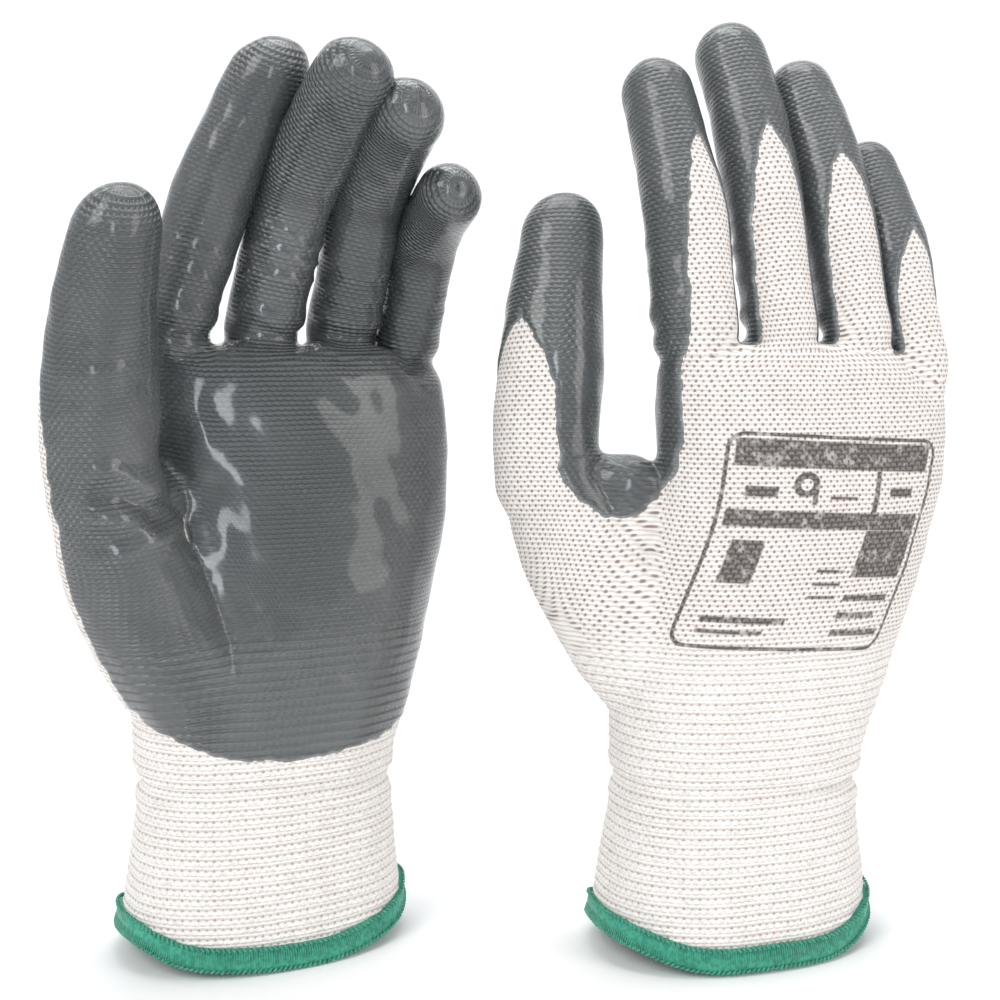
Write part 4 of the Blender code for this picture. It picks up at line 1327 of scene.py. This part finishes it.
def tube_object(name, path, radius, sides, closed):
    """A small tube along a few points, whose path lies in the X and Z plane."""
    path = np.array(path, float)
    count = len(path)
    points, faces = [], []
    for i, spot in enumerate(path):
        after = path[(i + 1) % count] if closed else path[min(i + 1, count - 1)]
        before = path[i - 1] if closed else path[max(i - 1, 0)]
        way = unit(after - before)
        across = unit(np.cross(way, (0, 1, 0)))
        for k in range(sides):
            turn = 2 * math.pi * k / sides
            points.append(spot + radius * (across * math.cos(turn) + np.array((0, 1, 0)) * math.sin(turn)))
    for i in range(count if closed else count - 1):
        for k in range(sides):
            j, m = (i + 1) % count, (k + 1) % sides
            faces.append((i * sides + k, i * sides + m, j * sides + m, j * sides + k))
    if not closed:
        faces += [tuple(range(sides))[::-1], tuple((count - 1) * sides + k for k in range(sides))]
    mesh = bpy.data.meshes.new(name)
    mesh.from_pydata([tuple(p) for p in points], [], faces)
    work = bmesh.new()
    work.from_mesh(mesh)
    bmesh.ops.recalc_face_normals(work, faces=work.faces)
    work.to_mesh(mesh)
    work.free()
    mesh.shade_smooth()
    made = bpy.data.objects.new(name, mesh)
    bpy.context.scene.collection.objects.link(made)
    return made


def stitch_points(name, side, share, grow, spacing):
    """Points spaced evenly along a line of the hem, each with its out and along directions."""
    line = hem_line(side, share, grow)
    outer = hem_line(side, share, grow + 1 * MM)
    loop = np.vstack([line, line[:1]])
    lengths = np.concatenate([[0], np.cumsum(np.linalg.norm(np.diff(loop, axis=0), axis=1))])
    count = round(lengths[-1] / spacing)
    at = np.arange(count) * lengths[-1] / count
    outer = np.vstack([outer, outer[:1]])
    spots = np.column_stack([np.interp(at, lengths, loop[:, k]) for k in range(3)])
    outs = np.column_stack([np.interp(at, lengths, (outer - loop)[:, k]) for k in range(3)])
    ahead = np.roll(spots, -1, axis=0) - np.roll(spots, 1, axis=0)
    mesh = bpy.data.meshes.new(name)
    mesh.from_pydata(to_table(side, spots).tolist(), [], [])
    for key, values in (("out", outs), ("along", ahead)):
        made = mesh.attributes.new(key, "FLOAT_VECTOR", "POINT")
        made.data.foreach_set("vector", unit(to_table(side, values, place=False)).astype(np.float32).ravel())
    made = bpy.data.objects.new(name, mesh)
    bpy.context.scene.collection.objects.link(made)
    return made


STITCH_GROUP = wrap_group()
half_thick, half_tall = (HEM_OUT + HEM_IN) / 2, HEM_HEIGHT / 2
section = [oval(turn, half_thick, half_tall, 3.2) for turn in np.linspace(0, 2 * math.pi, 16, endpoint=False)]
wrap = tube_object("wrap_stitch", [(float(x), 0, float(z)) for x, z in section], WRAP_RADIUS, 3, True)
looper = tube_object(
    "looper_stitch",
    [
        (-0.25 * MM, 0, -0.62 * MM), (0.34 * MM, 0, -0.25 * MM),
        (0.34 * MM, 0, 0.25 * MM), (-0.25 * MM, 0, 0.62 * MM),
    ],
    0.33 * MM, 5, False,
)
for side in GLOVES:
    middle = (HEM_OUT - HEM_IN) / 2
    for label, share, grow, spacing, stitch, lean, change in (
        ("wraps", 0.5, middle, WRAP_SPACING, wrap, 0.06, 0.05),
        ("upper_loopers", 0.97, HEM_OUT - 0.1 * MM, LOOPER_SPACING, looper, 0.9, 0.25),
        ("lower_loopers", 0.08, HEM_OUT - 0.1 * MM, LOOPER_SPACING, looper, -0.9, 0.25),
    ):
        piece = stitch_points(f"{side}_hem_{label}", side, share, grow, spacing)
        values = {
            "Stitch": stitch, "Lean": lean, "Lean change": change,
            "Size change": 0.03, "Seed": 5, "Material": THREAD,
        }
        run_group(piece, STITCH_GROUP, values)
        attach(piece, f"{side}_cuff")
        print(piece.name, len(piece.data.polygons), "faces")
bpy.data.objects.remove(wrap)
bpy.data.objects.remove(looper)

# %% [markdown]
# ## The stamp on the back
# The print is a film of ink. It takes the knit's own triangles on the back of the hand and lies a hair
# above them, so it follows every fold. Each point carries its place in the stamp's slightly slanted frame.

# %% The print pieces
PRINT_LOW, PRINT_HIGH = 83 * MM, 139 * MM
PRINT_SIDES = (-28 * MM, 33 * MM)
PRINT_SLANT = 0.06
PRINT_SHEAR = 9 * MM
PRINT_LIFT = 0.06 * MM


def make_print(side):
    sheet = SHEETS[side]
    x, p, _, _ = trunk_places(side, sheet["points"])
    up = (sheet["points"][:, 2] - PRINT_LOW + PRINT_SLANT * x) / (PRINT_HIGH - PRINT_LOW)
    across = (sheet["trunk"] + PRINT_SHEAR * (1 - up) - PRINT_SIDES[0]) / (PRINT_SIDES[1] - PRINT_SIDES[0])
    turned = sheet["triangles"][:, ::way_round(side)]
    held = (up > -0.04) & (up < 1.04) & (across > -0.04) & (across < 1.04) & (p < -2 * MM)
    held &= sheet["dip"] < -1.2 * MM
    faces = turned[held[turned].all(axis=1) & (sheet["label"] == 1)]
    normals = to_table(side, sheet["normals"], place=False)
    points = to_table(side, sheet["knit"]) + normals * PRINT_LIFT
    values = {**knit_attributes(sheet), "print_across": across, "print_up": up}
    piece = new_piece(f"{side}_stamp", points, faces, normals, INK, values)
    join_to_model(piece, side, "palm", f"{side}_size_print")
    print(piece.name, len(faces), "faces")


for side in GLOVES:
    make_print(side)

# %% [markdown]
# ## Studio
# A product picture of gloves is lit by big soft boxes: one bright from the upper left that draws long
# highlights on the rubber, one from the right, and a broad top light. The floor is a plain pale sweep.

# %% Floor, lights and camera
def make_floor():
    finish = Finish("pale_floor", Roughness=0.7)
    tone = finish.noise(finish.position(), 3, 2)
    finish.set(Base_Color=finish.mix(tone, (0.92, 0.92, 0.92), (0.95, 0.95, 0.95)))
    mesh = bpy.data.meshes.new("pale_sweep")
    profile = [(-1.6, 0.0), (1.1, 0.0)]
    profile += [(1.1 + 0.5 * math.sin(t), 0.5 - 0.5 * math.cos(t)) for t in np.linspace(0.15, math.pi / 2, 12)]
    profile += [(1.6, 2.6)]
    points = [(x, y, z) for y, z in profile for x in (-3.0, 3.0)]
    faces = [(2 * i, 2 * i + 1, 2 * i + 3, 2 * i + 2) for i in range(len(profile) - 1)]
    mesh.from_pydata(points, [], faces)
    mesh.shade_smooth()
    mesh.materials.append(finish.material)
    floor = bpy.data.objects.new("pale_sweep", mesh)
    bpy.context.scene.collection.objects.link(floor)
    return floor


def add_soft_box(name, spot, target, size, watts, colour=(1, 1, 1)):
    light = bpy.data.lights.new(name, "AREA")
    light.shape, light.size, light.size_y = "RECTANGLE", size[0], size[1]
    light.energy, light.color = watts, colour
    lamp = bpy.data.objects.new(name, light)
    lamp.location = spot
    lamp.rotation_euler = (Vector(target) - Vector(spot)).to_track_quat("-Z", "Y").to_euler()
    bpy.context.scene.collection.objects.link(lamp)
    return lamp


floor = make_floor()
centre = (0, 0, 0.12)
lamps = [
    add_soft_box("key_box", (-0.62, -0.75, 0.85), centre, (0.50, 0.70), 6.5, (1.0, 0.985, 0.96)),
    add_soft_box("side_box", (0.85, -0.45, 0.35), centre, (0.30, 0.80), 2.6, (1.0, 0.95, 0.90)),
    add_soft_box("top_box", (0.05, 0.12, 1.05), centre, (0.7, 0.4), 4.2),
    add_soft_box("front_window", (0.12, -1.1, 0.35), centre, (0.16, 0.5), 2.4, (0.90, 0.95, 1.0)),
    add_soft_box("backdrop_wash", (0, 0.7, 1.5), (0, 1.6, 0.5), (2.4, 0.6), 16),
]
world = bpy.data.worlds.new("pale_room")
world.use_nodes = True
world.node_tree.nodes["Background"].inputs["Color"].default_value = (0.93, 0.95, 1.0, 1)
world.node_tree.nodes["Background"].inputs["Strength"].default_value = 0.50
bpy.context.scene.world = world
print("lamps:", [lamp.name for lamp in lamps])

# %% The camera
DISTANCE = 0.42
ELEVATION = math.radians(6)
TARGET = Vector((-0.0092, 0.0080, 0.121))
lens = bpy.data.cameras.new("camera")
lens.lens, lens.sensor_width, lens.clip_start = 56, 36, 0.01
camera = bpy.data.objects.new("camera", lens)
camera.location = TARGET + Vector((0, -math.cos(ELEVATION), math.sin(ELEVATION))) * DISTANCE
camera.rotation_euler = (TARGET - camera.location).to_track_quat("-Z", "Y").to_euler()
bpy.context.scene.collection.objects.link(camera)
bpy.context.scene.camera = camera
bpy.context.scene.view_settings.view_transform = "Standard"
print("camera is", DISTANCE, "m away")
